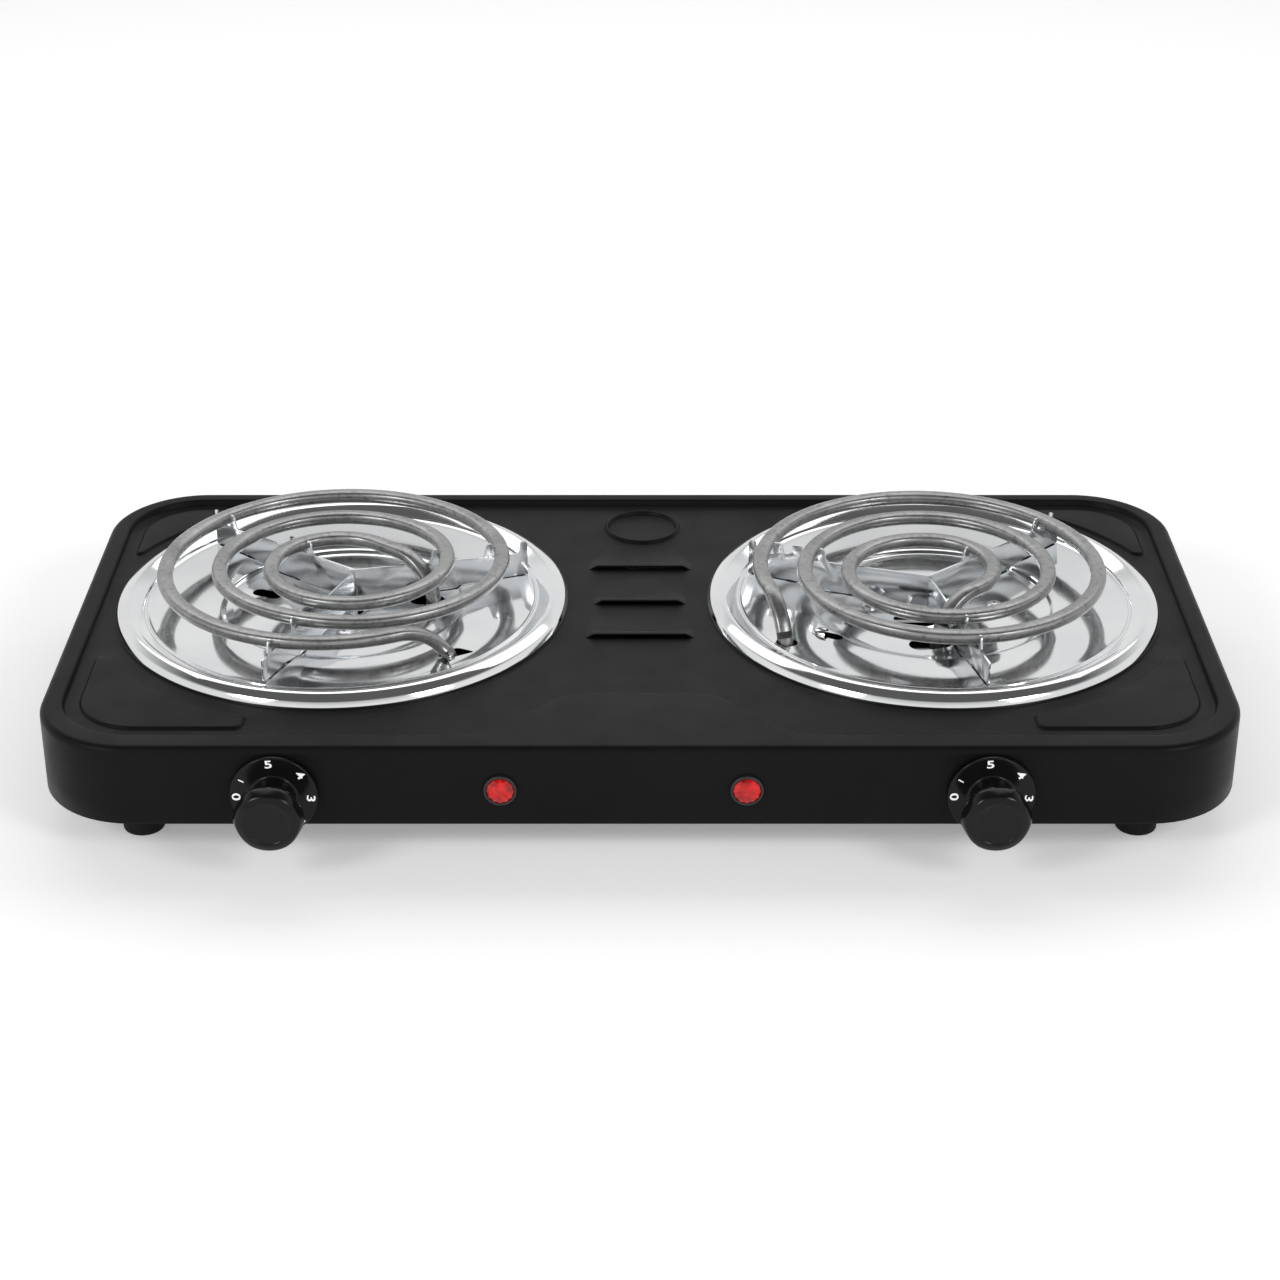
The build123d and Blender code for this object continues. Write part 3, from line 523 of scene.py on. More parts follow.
# ---- housing shell -------------------------------------------------------------------
def field_outline():
    side = HALF_X - 9
    front, back = FRONT_Y + 11.5, HALF_Y - 8.5
    corners = [(-side, front, 31), (-62.6, front, 16), (-30, -74.4, 22), (30, -74.4, 22), (62.6, front, 16),
               (side, front, 31), (side, back, 31), (-side, back, 31)]
    return resampled(rounded(corners), 1.6, 1.6)


def pad_outline(sign, back):
    """One corner pad: square to the rim outside, hollowed round its burner inside."""
    burner = BURNER["left" if sign < 0 else "right"]
    outer_x, inner_x, arc_r = sign * 225.0, sign * 157.0, 105.5
    end_y = 58.5 if back else -40.0
    edge_y = 105.5 if back else -100.1
    reach_y = math.sqrt(arc_r ** 2 - (inner_x - burner[0]) ** 2) * (1 if back else -1) + burner[1]
    reach_x = math.sqrt(arc_r ** 2 - (end_y - burner[1]) ** 2) * sign + burner[0]
    start = math.atan2(end_y - burner[1], reach_x - burner[0])
    stop = math.atan2(reach_y - burner[1], inner_x - burner[0])
    sweep = (stop - start + math.pi) % math.tau - math.pi
    arc = []
    steps = 10
    for i in range(steps + 1):
        turn = start + sweep * i / steps
        radius = 2.0 if i in (0, steps) else 0
        arc.append((burner[0] + arc_r * math.cos(turn), burner[1] + arc_r * math.sin(turn), radius))
    corners = [(outer_x, end_y, 0), *arc, (inner_x, edge_y, 3), (outer_x, edge_y, 25)]
    area = sum(a[0] * b[1] - b[0] * a[1] for a, b in zip(corners, corners[1:] + corners[:1]))
    if area < 0:
        corners.reverse()
    return resampled(rounded(corners), 1.2, 1.3)


def louvre(build, half_width, front):
    """A pressed hood, open to the front; gives back the ring where it meets the field."""
    ends, depth, lift = 4.5, 8.0, 1.9
    columns = [-half_width - ends + i * ends / 8 for i in range(8)]
    columns += [-half_width + i * half_width / 5 for i in range(11)]
    columns += [half_width + (i + 1) * ends / 8 for i in range(8)]
    rows = [0, 0.5, 1.0, 1.6, 2.4, 3.4, 4.6, 6.0, depth]
    grid = []
    for y in rows:
        back_fall = 0.5 + 0.5 * math.cos(math.pi * max(0.0, (y - 1.0) / (depth - 1.0)))
        line = []
        for x in columns:
            edge = min(1.0, max(0.0, (half_width + ends - abs(x)) / ends))
            side_fall = edge * edge * (3 - 2 * edge)
            line.append(build.verts.new((x, front + y, FIELD_Z + lift * back_fall * side_fall)))
        grid.append(line)
    for low, high in zip(grid, grid[1:]):
        bridge(build, low, high, closed=False)
    ring = [build.verts.new((x, front, FIELD_Z)) for x in columns]
    ring += [line[-1] for line in grid[1:]]
    ring += grid[-1][-2::-1]
    ring += [line[0] for line in grid[-2:0:-1]]
    return ring


def shell_piece():
    build = bmesh.new()
    outline = resampled(rounded([(-HALF_X, -HALF_Y, CORNER_R), (HALF_X, -HALF_Y, CORNER_R),
                                 (HALF_X, HALF_Y, CORNER_R), (-HALF_X, HALF_Y, CORNER_R)], step=2.5), 1.6)
    edge_r = 3.0
    wall = [(2.4, SKIRT_Z + 0.9), (1.0, SKIRT_Z + 0.35), (0.35, SKIRT_Z + 0.1), (0.0, SKIRT_Z + 0.7),
            (0.0, SKIRT_Z + 9), (0.0, SKIRT_Z + 20)]
    for k in range(9):
        turn = math.pi / 2 * k / 8
        wall.append((edge_r - edge_r * math.cos(turn), TOP_Z - edge_r + edge_r * math.sin(turn)))
    wall.append((edge_r + 0.5, TOP_Z))
    last = None
    for inset, z in wall:
        ring = loop_verts(build, [(x, y, z) for x, y in offset(outline, -inset)])
        if last:
            bridge(build, last, ring)
        last = ring
    rim_ring = last

    field = field_outline()
    step = [(1.7, TOP_Z), (1.2, TOP_Z - 0.06), (0.8, TOP_Z - 0.24), (0.5, TOP_Z - 0.6),
            (0.25, TOP_Z - 1.2), (0.0, TOP_Z - 1.9), (-0.3, TOP_Z - 2.4), (-0.8, TOP_Z - 2.78),
            (-1.4, TOP_Z - 2.95), (-2.0, FIELD_Z)]
    last = None
    for grow, z in step:
        ring = loop_verts(build, [(x, y, z) for x, y in offset(field, grow)])
        if last:
            bridge(build, last, ring)
        else:
            fill(build, [rim_ring, ring])
        last = ring
    holes = []

    for sign in (-1, 1):
        for back in (False, True):
            outline = pad_outline(sign, back)
            pad_last = None
            for grow, z in ((0.9, FIELD_Z), (0.45, FIELD_Z + 0.07), (0.1, FIELD_Z + 0.35),
                            (-0.25, PAD_Z - 0.35), (-0.6, PAD_Z - 0.07), (-1.2, PAD_Z)):
                ring = loop_verts(build, [(x, y, z) for x, y in offset(outline, grow)])
                if pad_last:
                    bridge(build, pad_last, ring)
                else:
                    holes.append(ring)
                pad_last = ring
            fill(build, [pad_last])

    for side in SIDES:
        pan_last = None
        for radius, z in ((93.0, FIELD_Z), (PAN_HOLE_R + 1, FIELD_Z - 0.1), (PAN_HOLE_R, FIELD_Z - 1.2)):
            ring = loop_verts(build, [(x, y, z) for x, y in circle(BURNER[side], radius, 120)])
            if pan_last:
                bridge(build, pan_last, ring)
            else:
                holes.append(ring)
            pan_last = ring

    bead_centre = (1.0, 87.0)
    bead_last = None
    for radius, lift in ((18.4, 0), (17.6, 0.12), (17.0, 0.6), (16.6, 1.25), (16.2, 1.6), (15.7, 1.62),
                         (15.3, 1.2), (15.0, 0.5), (14.6, 0.0), (14.0, -0.2), (12.0, -0.25)):
        ring = loop_verts(build, [(x, y, FIELD_Z + lift) for x, y in circle(bead_centre, radius, 72)])
        if bead_last:
            bridge(build, bead_last, ring)
        else:
            holes.append(ring)
        bead_last = ring
    fill(build, [bead_last])

    for half_width, y in ((18.5, 45.8), (15.8, 11.8), (18.8, -19.7)):
        holes.append(louvre(build, half_width, y - 1.5))
    fill(build, [last, *holes])
    piece = finish_mesh("housing_shell_skin", build, "housing_paint", "housing", ["housing_shell"], 35)
    thicken(piece, 0.7, 35)
    return piece


# ---- drip pans -----------------------------------------------------------------------
def pan_profile():
    """Half section as (radius, height, corner radius), from the hem in to the drain."""
    hem = [(96.9, 47.1, 0), (97.1, 48.4, 1.0), (95.7, 50.9, 2.6), (91.2, 53.2, 4.0)]
    groove = [(84.9, 50.0, 1.0), (84.3, 49.2, 0.35), (83.6, 49.2, 0.3), (83.1, 49.85, 0.3)]
    bowl = [(82.2, 49.5, 0.8), (62.0, 48.3, 60), (52.0, 47.3, 3.0), (50.4, 46.1, 1.2)]
    floor = [(47.0, 45.8, 2.0), (26.0, 45.35, 20), (11.0, 45.25, 1.0), (9.6, 44.6, 0)]
    return split_long(rounded(hem + groove + bowl + floor, closed=False, step=9), 2.2)


def pan_height(radius):
    profile = pan_profile()
    best = PAN_FLOOR_Z
    for (r1, z1), (r0, z0) in zip(profile, profile[1:]):
        if r0 <= radius <= r1 and r1 > r0 and r1 < 92:
            best = z0 + (z1 - z0) * (radius - r0) / (r1 - r0)
            break
    return best


def coil_radius(side, swept):
    rings = COIL_RINGS[side]
    radius = rings[0]
    for ring, next_ring, (begin, span) in zip(rings, rings[1:], COIL_STEPS[side]):
        part = min(max((swept - begin) / span, 0.0), 1.0)
        radius -= (ring - next_ring) * (1 - math.cos(math.pi * part)) / 2
    return radius


def coil_plan(side, swept):
    return polar(COIL_CENTRE[side], coil_radius(side, swept), COIL_START[side] - swept)


def coil_ends(side):
    """For each end: where it leaves the spiral, its heading, level run, bend and upright place."""
    ends = []
    for swept, step, run, bend in ((0.0, -1.0, 0.0, OUTER_BEND_R),
                                   (COIL_SWEEP[side], 1.0, INNER_RUN[side], INNER_BEND_R)):
        here = Vector(coil_plan(side, swept))
        heading = (Vector(coil_plan(side, swept + step)) - here).normalized()
        ends.append((here, heading, run, bend, here + (run + bend) * heading))
    return ends


def prism(outline, low, high):
    """A cutter with the given plan outline."""
    build = bmesh.new()
    bottom = loop_verts(build, [(x, y, low) for x, y in outline])
    top = loop_verts(build, [(x, y, high) for x, y in outline])
    bridge(build, bottom, top)
    build.faces.new(bottom[::-1])
    build.faces.new(top)
    return build


def stadium(start, end, radius, count=10):
    """A slot outline between two points."""
    way = math.atan2(end[1] - start[1], end[0] - start[0])
    points = []
    for centre, base in ((end, way - math.pi / 2), (start, way + math.pi / 2)):
        for k in range(count + 1):
            turn = base + math.pi * k / count
            points.append((centre[0] + radius * math.cos(turn), centre[1] + radius * math.sin(turn)))
    return points


def arm_line(side, angle):
    """Where an arm starts, its direction and its length."""
    fork = Vector(ARM_FORK[side])
    tip = Vector(polar(BURNER[side], ARM_REACH, angle))
    return fork, (tip - fork).normalized(), (tip - fork).length


def cut(piece, builds, angle=40):
    """Take cutters away from a piece, one after another."""
    for build in builds:
        bmesh.ops.recalc_face_normals(build, faces=build.faces)
        for vert in build.verts:
            vert.co = place(vert.co)
        mesh = bpy.data.meshes.new("cutter")
        build.to_mesh(mesh)
        build.free()
        cutter = bpy.data.objects.new("cutter", mesh)
        bpy.context.scene.collection.objects.link(cutter)
        hole = piece.modifiers.new("hole", "BOOLEAN")
        hole.operation = "DIFFERENCE"
        hole.solver = "EXACT"
        hole.object = cutter
        apply_modifiers(piece, angle)
        bpy.data.objects.remove(cutter)
        bpy.data.meshes.remove(mesh)


def pan_holes(side):
    """Cutters for the legs, the arms' feet and the vents."""
    outer, inner = (end[-1] for end in coil_ends(side))
    cutters = []
    if side == "left":
        ragged = [(-6.4, -2.4, 1.0), (-1.0, -4.6, 2.0), (9.4, 0.8, 0.8), (1.5, 5.6, 2.5)]
        cutters.append(rounded([(outer.x + x, outer.y + y, r) for x, y, r in ragged]))
        cutters.append(stadium(inner + Vector((-6.0, 0.5)), inner + Vector((0.6, 0)), 4.3))
        cutters.append(stadium((-165.5, 24.4), (-159.0, 21.8), 3.2))
    else:
        cutters.append(stadium(outer - Vector((0.5, 0)), outer + Vector((0.5, 0)), 4.0))
        cutters.append(stadium(inner + Vector((-7.5, -4.0)), inner + Vector((1.0, -1.5)), 5.2))
        cutters.append(stadium((112.5, -0.5), (122.0, -3.2), 4.1))
        cutters.append(stadium(LANCE[0], LANCE[1], 2.9))
    for angle in ARM_ANGLES[side]:
        fork, way, length = arm_line(side, angle)
        for near, far in ((0.41, 0.60), (0.735, 0.975)):
            cutters.append(stadium(fork + way * length * near, fork + way * length * far, 0.85, 4))
    return [prism(outline, 38, 60) for outline in cutters]


def lance_piece():
    """The hooded lip beside the right pan's lanced hole."""
    build = bmesh.new()
    mouth, tail = Vector(LANCE[1]), Vector(LANCE[0])
    way = (mouth - tail).normalized()
    across = Vector((-way.y, way.x))
    ground = pan_height((tail - Vector(BURNER["right"])).length)
    last = None
    for i in range(9):
        phi = math.pi / 2 * (0.12 + 0.88 * i / 8)
        ring = []
        for k in range(13):
            theta = math.pi * k / 12
            spot = tail + way * (3.4 - 6.4 * math.cos(phi)) + across * 3.3 * math.sin(phi) * math.cos(theta)
            ring.append(build.verts.new((spot.x, spot.y, ground + 2.7 * math.sin(phi) * math.sin(theta))))
        if last:
            bridge(build, last, ring, closed=False)
        last = ring
    piece = finish_mesh("drip_pan_right_lip", build, "pan_chrome", "housing", smooth_angle=50)
    thicken(piece, 0.22, 50)


def pan_piece(side):
    build = bmesh.new()
    turned(build, pan_profile(), 288, BURNER[side])
    piece = finish_mesh(f"drip_pan_{side}_skin", build, "pan_chrome", "housing", [f"drip_pan_{side}"], 40)
    thicken(piece, 0.22)
    cut(piece, pan_holes(side), 40)
    return piece


# ---- heating coils -------------------------------------------------------------------
def coil_route(side):
    """Centreline points with their level side vectors and tangents."""
    outer, inner = coil_ends(side)
    route = []

    def leg(end, towards_end):
        leaves, heading, level, bend, upright = end
        start = leaves + heading * level
        side_way = Vector((-heading.y, heading.x, 0))
        stations = []
        for k in range(1, int(level) + 1):
            spot = leaves + heading * k
            stations.append((Vector((spot.x, spot.y, COIL_Z)), Vector((heading.x, heading.y, 0))))
        for k in range(1, 15):
            turn = math.pi / 2 * k / 14
            run, drop = bend * math.sin(turn), bend * (1 - math.cos(turn))
            point = Vector((start.x + heading.x * run, start.y + heading.y * run, COIL_Z - drop))
            tangent = Vector((heading.x * math.cos(turn), heading.y * math.cos(turn), -math.sin(turn)))
            stations.append((point, tangent))
        low = COIL_Z - bend
        for k in range(1, 4):
            z = low + (LEG_BOTTOM_Z - low) * k / 3
            stations.append((Vector((upright.x, upright.y, z)), Vector((0, 0, -1))))
        if towards_end:
            return [(p, t, side_way) for p, t in stations]
        return [(p, -t, -side_way) for p, t in reversed(stations)]

    route += leg(outer, False)
    steps = 400
    for i in range(steps + 1):
        swept = COIL_SWEEP[side] * i / steps
        here = Vector(coil_plan(side, swept))
        ahead = Vector(coil_plan(side, swept + 0.5))
        behind = Vector(coil_plan(side, swept - 0.5))
        way = (ahead - behind).normalized()
        place_on_coil = Vector((here.x, here.y, COIL_Z))
        route.append((place_on_coil, Vector((way.x, way.y, 0)), Vector((-way.y, way.x, 0))))
    route += leg(inner, True)
    return route


def sheath_section(turn):
    """The sheath's outline: round below, pressed nearly flat on top."""
    across, up = TUBE_R * math.cos(turn), TUBE_R * math.sin(turn)
    shoulder = 1.75
    if up > shoulder:
        up = shoulder + (up - shoulder) * 0.52
        across *= 1.03
    return min(max(across, -TUBE_R), TUBE_R), up


def coil_piece(side):
    build = bmesh.new()
    count = 28
    last = None
    rings = []
    for point, tangent, side_way in coil_route(side):
        up = tangent.cross(side_way) * -1
        if abs(tangent.z) < 0.9 and up.z < 0:
            up = -up
        ring = []
        for k in range(count):
            across, lift = sheath_section(math.tau * k / count)
            ring.append(build.verts.new(point + side_way * across + up * lift))
        if last:
            bridge(build, last, ring)
        last = ring
        rings.append(ring)
    build.faces.new(rings[0][::-1])
    build.faces.new(rings[-1])
    node = f"heating_coil_{side}"
    return finish_mesh(f"{node}_sheath", build, "coil_sheath", "housing", [node], 50)


# ---- coil supports -------------------------------------------------------------------
def arm_crossings(side, angle):
    """Distances along an arm at which the coil passes over it."""
    fork, way, _ = arm_line(side, angle)
    found = []
    before = None
    for swept in range(0, int(COIL_SWEEP[side]) + 1):
        gap = Vector(coil_plan(side, swept)) - fork
        along, across = gap.dot(way), way.cross(gap)
        if before is not None and before * across <= 0 and along > 0:
            found.append(along)
        before = across
    return sorted(found)


def fin(edge, grow):
    """A rounded fin that stands straight beside the coil and falls away from it."""
    top, width = TAB_TOP_Z, 4.2
    shape = ((0, -1.3), (0.15, -0.4), (0.6, 0.0), (1.3, 0.0), (2.1, -0.5), (2.7, -1.5), (3.1, -3.0))
    points = [(edge, SEAT_Z)] + [(edge + reach * grow, top + drop) for reach, drop in shape]
    points += [(edge + 0.85 * width * grow, SEAT_Z + 0.9), (edge + 1.1 * width * grow, SEAT_Z)]
    return points if grow > 0 else points[::-1]


def high_stretch(low, high):
    """The strip left at full height between two seats, with one spare seat in it."""
    middle, half, bottom = (low + high) / 2, 2.1, TAB_TOP_Z - 2.6
    spare = [(middle - half, bottom)] + [(middle - half * math.cos(math.pi * k / 6),
                                          bottom - half * math.sin(math.pi * k / 6)) for k in range(1, 6)]
    return [(low, SEAT_Z), (low, TAB_TOP_Z - 0.8), (low + 0.7, TAB_TOP_Z), (middle - half - 0.5, TAB_TOP_Z),
            (middle - half, TAB_TOP_Z - 0.6), *spare, (middle + half, bottom),
            (middle + half, TAB_TOP_Z - 0.6), (middle + half + 0.5, TAB_TOP_Z), (high - 0.7, TAB_TOP_Z),
            (high, TAB_TOP_Z - 0.8), (high, SEAT_Z)]


# Which fins stand on each arm: (turn of the coil counted from the middle, side of it).
FINS = {
    "left": {16.0: ((0, -1), (1, -1)), 138.5: ((0, -1), (0, 1), (2, -1), (2, 1)), 252.5: ((1, 1), (2, 1))},
    "right": {163.0: ((1, -1), "spare seat"), 42.0: ((0, -1), (2, -1), (2, 1)), 280.5: ((0, 1), (1, 1))},
}


def arm_outline(side, angle, start):
    """The strip's face as (distance, height) points, anticlockwise."""
    fork, way, length = arm_line(side, angle)
    crossings = arm_crossings(side, angle)
    top = []
    for wanted in FINS[side][angle]:
        if wanted == "spare seat":
            top.append(high_stretch(crossings[1] + NOTCH_HALF, crossings[2] - NOTCH_HALF))
            continue
        turn, grow = wanted
        if turn < len(crossings):
            top.append(fin(crossings[turn] + grow * NOTCH_HALF, grow))
    top = [p for points in sorted(top) for p in points if start < p[0] < length - 0.1]
    end_fin = angle in (16.0, 163.0)
    if end_fin:
        top += [(length - 4.4, SEAT_Z), (length - 3.6, SEAT_Z + 1.2), (length - 3.3, TAB_TOP_Z - 1.6),
                (length - 2.6, TAB_TOP_Z - 0.4), (length - 1.6, TAB_TOP_Z), (length - 0.8, TAB_TOP_Z - 0.4),
                (length, TAB_TOP_Z - 1.6)]
    else:
        top += [(length, max(SEAT_Z, top[-1][1] if top and length - top[-1][0] < 2.5 else SEAT_Z))]
    bottom = []
    for i in range(19):
        s = start + (length - start) * i / 18
        bottom.append((s, pan_height((fork + way * s - Vector(BURNER[side])).length) + 0.25))
    for near, far in ((0.44, 0.565), (0.78, 0.93)):
        level = pan_height((fork + way * (near + far) / 2 * length - Vector(BURNER[side])).length)
        bottom = [p for p in bottom if not near * length - 1 < p[0] < far * length + 1]
        bottom += [(near * length - 0.01, level + 0.3), (near * length, level - 2.6),
                   (far * length, level - 2.6), (far * length + 0.01, level + 0.3)]
        bottom.sort()
    return [(start, SEAT_Z)] + top + bottom[::-1]


def arm_mesh(build, side, angle, start):
    fork, way, _ = arm_line(side, angle)
    across = Vector((-way.y, way.x))
    outline = arm_outline(side, angle, start)
    faces = []
    for half in (-ARM_SHEET / 2, ARM_SHEET / 2):
        ring = []
        for s, z in outline:
            plan = fork + way * s + across * half
            ring.append(build.verts.new((plan.x, plan.y, z)))
        faces.append(ring)
    bridge(build, faces[0], faces[1])
    build.faces.new(faces[0])
    build.faces.new(faces[1][::-1])


def leg_room(side):
    """A cutter for the room above and round the inner leg where it dips past the arms."""
    leaves, heading, level, bend, _ = coil_ends(side)[1]
    across = Vector((-heading.y, heading.x)) * NOTCH_HALF
    build = bmesh.new()
    last = None
    for k in range(13):
        turn = math.pi / 2 * k / 12 * 0.8
        spot = leaves + heading * (level + bend * math.sin(turn))
        low = COIL_Z - bend * (1 - math.cos(turn)) - NOTCH_HALF / math.cos(turn)
        ring = []
        for j in range(9):
            sweep = math.pi * j / 8
            ring.append((spot - across * math.cos(sweep), low + NOTCH_HALF * (1 - math.sin(sweep))))
        ring = [build.verts.new((p.x, p.y, z)) for p, z in ring]
        ring += [build.verts.new((p.x, p.y, 70.0)) for p in (spot + across, spot - across)]
        if last:
            bridge(build, last, ring)
        else:
            build.faces.new(ring)
        last = ring
    build.faces.new(last[::-1])
    return build


def support_pieces(side):
    first, second, third = ARM_ANGLES[side]
    for node, arms in ((f"coil_support_{side}", ((first, 0.0), (second, 0.0))),
                       (f"support_arm_{side}", ((third, 1.2),))):
        build = bmesh.new()
        for angle, start in arms:
            arm_mesh(build, side, angle, start)
        piece = finish_mesh(f"{node}_strip", build, "support_steel", "housing", [node], 30)
        cut(piece, [leg_room(side)], 30)
        soften = piece.modifiers.new("edge", "BEVEL")
        soften.width = 0.14 * MM
        soften.segments = 2
        soften.limit_method = "ANGLE"
        soften.angle_limit = math.radians(50)
        apply_modifiers(piece, 30)


# ---- knobs ---------------------------------------------------------------------------
def knob_profile():
    """Half section as (radius, distance from the panel, corner radius)."""
    disc = [(3.0, 2.2, 0), (8.4, 2.2, 0), (8.4, KNOB_GAP, 0), (17.2, KNOB_GAP, 0.3),
            (17.2, KNOB_GAP + 1.9, 0.5), (8.9, KNOB_GAP + 2.2, 1.2)]
    waist = [(7.8, 9.5, 8.0), (8.8, 13.0, 6.0), (12.9, 16.2, 3.5), (14.0, 19.6, 3.0)]
    cap = [(12.4, 23.6, 2.5), (9.6, 24.9, 1.0), (8.7, 24.8, 0.5), (8.4, 24.5, 0.4), (0.02, 24.4, 0)]
    return split_long(rounded(disc + waist + cap, closed=False, step=12), 1.2)


def flutes(turn, height):
    """Shallow scallops that fade out towards the skirt and the face."""
    if height < 12 or height > 24.0:
        return 1.0
    rise = min(1.0, (height - 12) / 4) * min(1.0, (24.0 - height) / 3.0)
    return 1.0 - 0.02 * rise * (1 + math.cos(6 * (turn - math.pi / 2)))


def dial_mark(text, degrees, side, size):
    """One printed figure on the knob's skirt, clockwise from the top."""
    curve = bpy.data.curves.new(f"figure_{text}", "FONT")
    curve.body = text
    curve.size = size * MM
    curve.align_x = "CENTER"
    curve.align_y = "CENTER"
    curve.extrude = 0.04 * MM
    curve.offset = 0.07 * MM
    helper = bpy.data.objects.new("figure", curve)
    bpy.context.scene.collection.objects.link(helper)
    bpy.context.view_layer.update()
    mesh = bpy.data.meshes.new_from_object(helper.evaluated_get(bpy.context.evaluated_depsgraph_get()))
    bpy.data.objects.remove(helper)
    turn = math.radians(-degrees)
    lift = Matrix.Translation(place((KNOB_X[side], FRONT_Y - KNOB_GAP - 2.22, KNOB_Z)))
    stand = Matrix.Rotation(math.pi / 2, 4, "X")
    widen = Matrix.Diagonal((1.45, 1.0, 1.0, 1.0))
    outward = Matrix.Translation((0, 14.4 * MM, 0))
    mesh.transform(lift @ stand @ Matrix.Rotation(turn, 4, "Z") @ outward @ widen)
    mesh.materials.clear()
    mesh.materials.append(GLOWING_PRINT)
    label = "tick" if text == "|" else text
    piece = bpy.data.objects.new(f"dial_{side}_{label}_{int(degrees) % 360}", mesh)
    bpy.context.scene.collection.objects.link(piece)
    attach(piece, f"{side}_knob")


def knob_pieces(side):
    build = bmesh.new()
    rings = turned(build, knob_profile(), 144, (KNOB_X[side], KNOB_Z), axis="front", wobble=flutes)
    build.faces.new(rings[-1])
    finish_mesh(f"knob_{side}_grip", build, "knob_plastic", f"{side}_knob", [f"knob_{side}"], 40)
    for text, degrees in (("5", -5), ("4", 48), ("3", 93), ("2", 138), ("1", 180), ("0", 270)):
        dial_mark(text, degrees, side, 4.6)
    dial_mark("|", 300, side, 2.4)


# ---- pilot lamps ---------------------------------------------------------------------
def lamp_pieces(side):
    build = bmesh.new()
    centre = (LAMP_X[side], LAMP_Z)
    profile = rounded([(4.85, -24, 0), (4.85, 0, 0), (6.6, 0.02, 0), (6.6, 1.5, 0.7),
                       (5.5, 1.7, 0.3), (5.42, 0.6, 0), (4.1, 0.6, 0), (4.1, -22, 0)],
                      closed=False, step=15)
    turned(build, profile, 64, centre, axis="front")
    finish_mesh(f"lamp_holder_{side}_bezel", build, "holder_black", "housing", [f"lamp_holder_{side}"], 40)

    build = bmesh.new()
    count = 12
    rows = []
    facets = ((4.0, -6, 0), (4.0, 0.6, 0), (5.35, 0.62, 0), (5.35, 1.5, 0), (4.3, 2.3, 0.5), (2.7, 2.95, 0))
    for radius, height, twist in facets:
        ring = []
        for k in range(count):
            turn = math.tau * (k + twist) / count
            ring.append(build.verts.new((centre[0] + radius * math.cos(turn), FRONT_Y - height,
                                         centre[1] + radius * math.sin(turn))))
        rows.append((ring, twist))
    for (low, low_twist), (high, high_twist) in zip(rows, rows[1:]):
        if low_twist == high_twist:
            bridge(build, low, high)
            continue
        for k in range(count):
            following = (k + 1) % count
            if high_twist:
                build.faces.new((low[k], low[following], high[k]))
                build.faces.new((low[following], high[following], high[k]))
            else:
                build.faces.new((low[k], low[following], high[following]))
                build.faces.new((low[k], high[following], high[k]))
    crest = build.verts.new((centre[0], FRONT_Y - 3.2, centre[1]))
    top = rows[-1][0]
    for k in range(count):
        build.faces.new((top[k], top[(k + 1) % count], crest))
    build.faces.new(rows[0][0])
    finish_mesh(f"pilot_lens_{side}_jewel", build, "lens_red", "housing", [f"pilot_lens_{side}"], 5)


# ---- feet, screws and gland ----------------------------------------------------------
def foot_piece(x, y, node):
    build = bmesh.new()
    profile = rounded([(2.2, 8, 0), (4.6, 8, 0), (4.6, 0.0, 0.6), (8.3, 0.0, 1.1),
                       (8.85, 12.6, 0.8), (7.9, 13.2, 0.5), (8.0, 15.98, 0), (2.2, 15.98, 0)],
                      closed=False, step=15)
    rings = turned(build, profile, 64, (x, y))
    bridge(build, rings[-1], rings[0])
    finish_mesh(f"{node}_rubber", build, "foot_rubber", "housing", [node], 40)


def pan_screw_pieces():
    """Domed heads with a small round dimple in the middle."""
    build = bmesh.new()
    for side in SIDES:
        for reach in (-STRAP_SCREW_R, STRAP_SCREW_R):
            centre = polar(BURNER[side], reach, STRAP_TURN[side])
            base = PAN_FLOOR_Z + 0.35
            profile = rounded([(1.7, PAN_FLOOR_Z - 6, 0), (1.7, base, 0), (3.6, base, 0),
                               (3.6, base + 0.7, 0.35), (2.3, base + 1.55, 1.4), (0.9, base + 1.7, 0),
                               (0.02, base + 1.0, 0)], closed=False, step=12)
            rings = turned(build, profile, 40, centre)
            build.faces.new(rings[0])
            build.faces.new(rings[-1])
    finish_mesh("pan_screw_heads", build, "zinc_steel", "housing", ["pan_screws"], 35)


def gland_piece():
    """The rear gland: a moulded collar with two soft ribs."""
    build = bmesh.new()
    back = HALF_Y
    flange = [(3.5, -4, 0.0), (8.0, -4, 0.4), (8.0, -0.8, 0), (6.0, -0.8, 0), (6.0, 0, 0), (8.5, 0.0, 0.2)]
    ribs = [(8.5, 2.0, 0.6), (7.4, 2.6, 0.4), (7.4, 3.4, 0.4), (7.8, 4.0, 0.4), (7.4, 5.95, 1.0)]
    mouth = [(3.9, 5.95, 0.4), (3.5, 5.2, 0.3), (3.5, -4, 0)]
    profile = rounded(flange + ribs + mouth, closed=False, step=15)
    turned(build, profile, 72, (0, GLAND_Z), axis="front")
    for vert in build.verts:
        vert.co.y = back + (FRONT_Y - vert.co.y)
    finish_mesh("cord_gland_collar", build, "grommet_rubber", "housing", ["cord_grommet"], 40)


# ---- stage ---------------------------------------------------------------------------
def area_light(name, place_at, target, size, watts):
    lamp = bpy.data.lights.new(name, "AREA")
    lamp.shape = "RECTANGLE"
    lamp.size, lamp.size_y = size
    lamp.energy = watts
    holder = bpy.data.objects.new(name, lamp)
    holder.location = place_at
    way = Vector(target) - Vector(place_at)
    holder.rotation_euler = way.to_track_quat("-Z", "Y").to_euler()
    bpy.context.scene.collection.objects.link(holder)


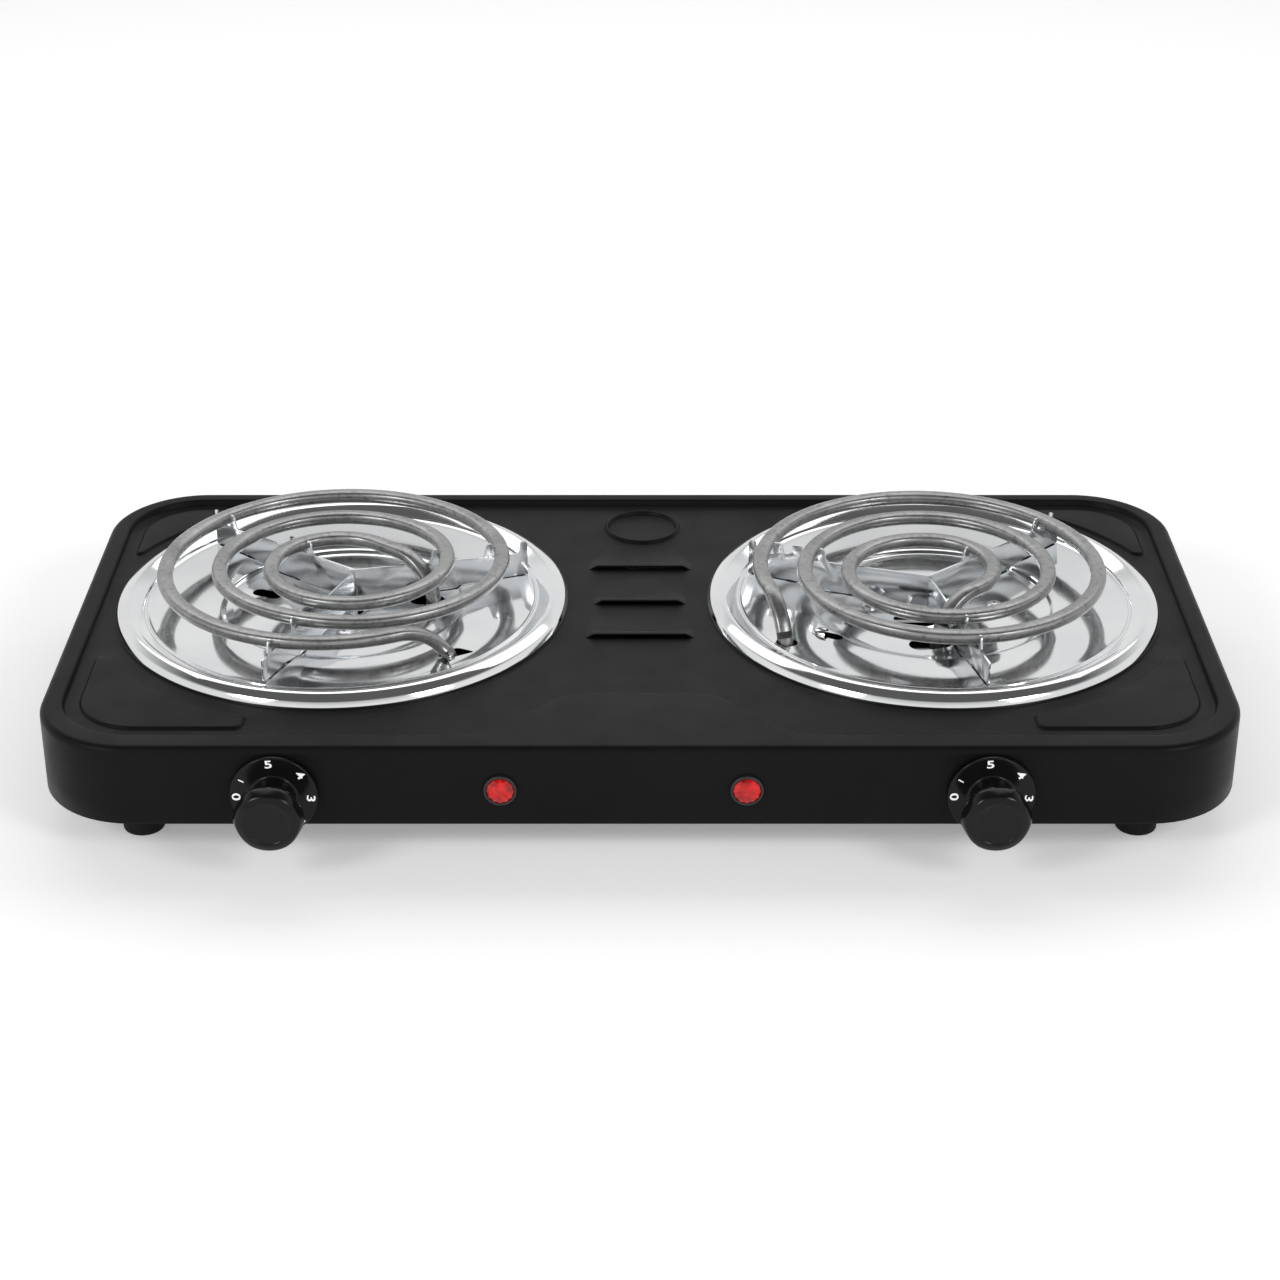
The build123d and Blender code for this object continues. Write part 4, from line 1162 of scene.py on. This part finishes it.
def stage():
    floor_mesh = bpy.data.meshes.new("floor")
    build = bmesh.new()
    square = ((-1, -1), (1, -1), (1, 1), (-1, 1))
    build.faces.new([build.verts.new((x * FLOOR_REACH, y * FLOOR_REACH, 0)) for x, y in square])
    build.to_mesh(floor_mesh)
    build.free()
    floor = bpy.data.objects.new("floor", floor_mesh)
    bpy.context.scene.collection.objects.link(floor)
    paper = Paint("floor_paper", (0.93, 0.93, 0.93), roughness=0.9)
    paper.shader.inputs["Specular IOR Level"].default_value = 0.1
    paper.shader.inputs["Emission Color"].default_value = (1, 1, 1, 1)
    paper.shader.inputs["Emission Strength"].default_value = 0.25
    floor_mesh.materials.append(paper.material)

    world = bpy.data.worlds.new("studio")
    world.use_nodes = True
    tree = world.node_tree
    direction = tree.nodes.new("ShaderNodeTexCoord")
    split = tree.nodes.new("ShaderNodeSeparateXYZ")
    tree.links.new(direction.outputs["Generated"], split.inputs[0])
    sky = tree.nodes.new("ShaderNodeValToRGB")
    for stop, (height, tone) in zip(sky.color_ramp.elements, SKY_TONES):
        stop.position = height
        stop.color = (tone, tone, tone, 1)
    tree.links.new(split.outputs["Z"], sky.inputs["Fac"])
    tree.links.new(sky.outputs["Color"], tree.nodes["Background"].inputs["Color"])
    tree.nodes["Background"].inputs["Strength"].default_value = 0.95
    bpy.context.scene.world = world
    area_light("overhead", OVERHEAD_AT, (0, 0, 0), OVERHEAD_SIZE, OVERHEAD_WATTS)
    for name, light_at in FRONT_LIGHTS.items():
        area_light(name, light_at, (0, 0, 0.03), FRONT_SIZE, FRONT_WATTS)

    lens = bpy.data.cameras.new("camera")
    lens.lens = LENS_MM
    lens.sensor_width = SENSOR_MM
    lens.dof.use_dof = False
    camera = bpy.data.objects.new("camera", lens)
    camera.location = CAMERA_AT
    camera.rotation_euler = (math.radians(CAMERA_TILT), 0, 0)
    bpy.context.scene.collection.objects.link(camera)
    bpy.context.scene.camera = camera
    bpy.context.scene.view_settings.view_transform = "Standard"


# ---- build ---------------------------------------------------------------------------
# The dial figures' print carries a faint painted glow.
GLOWING_PRINT = glowing_print_white()
paint_cad_nodes()
shell_piece()
lance_piece()
for side in SIDES:
    pan_piece(side)
    coil_piece(side)
    support_pieces(side)
    knob_pieces(side)
    lamp_pieces(side)
for node in ("foot_front_left", "foot_front_right", "foot_rear_left", "foot_rear_right"):
    low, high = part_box(node)
    foot_piece((low.x + high.x) / 2 / MM, ((low.y + high.y) / 2 - SHIFT_Y) / MM, node)
pan_screw_pieces()
gland_piece()
stage()

bpy.context.view_layer.update()
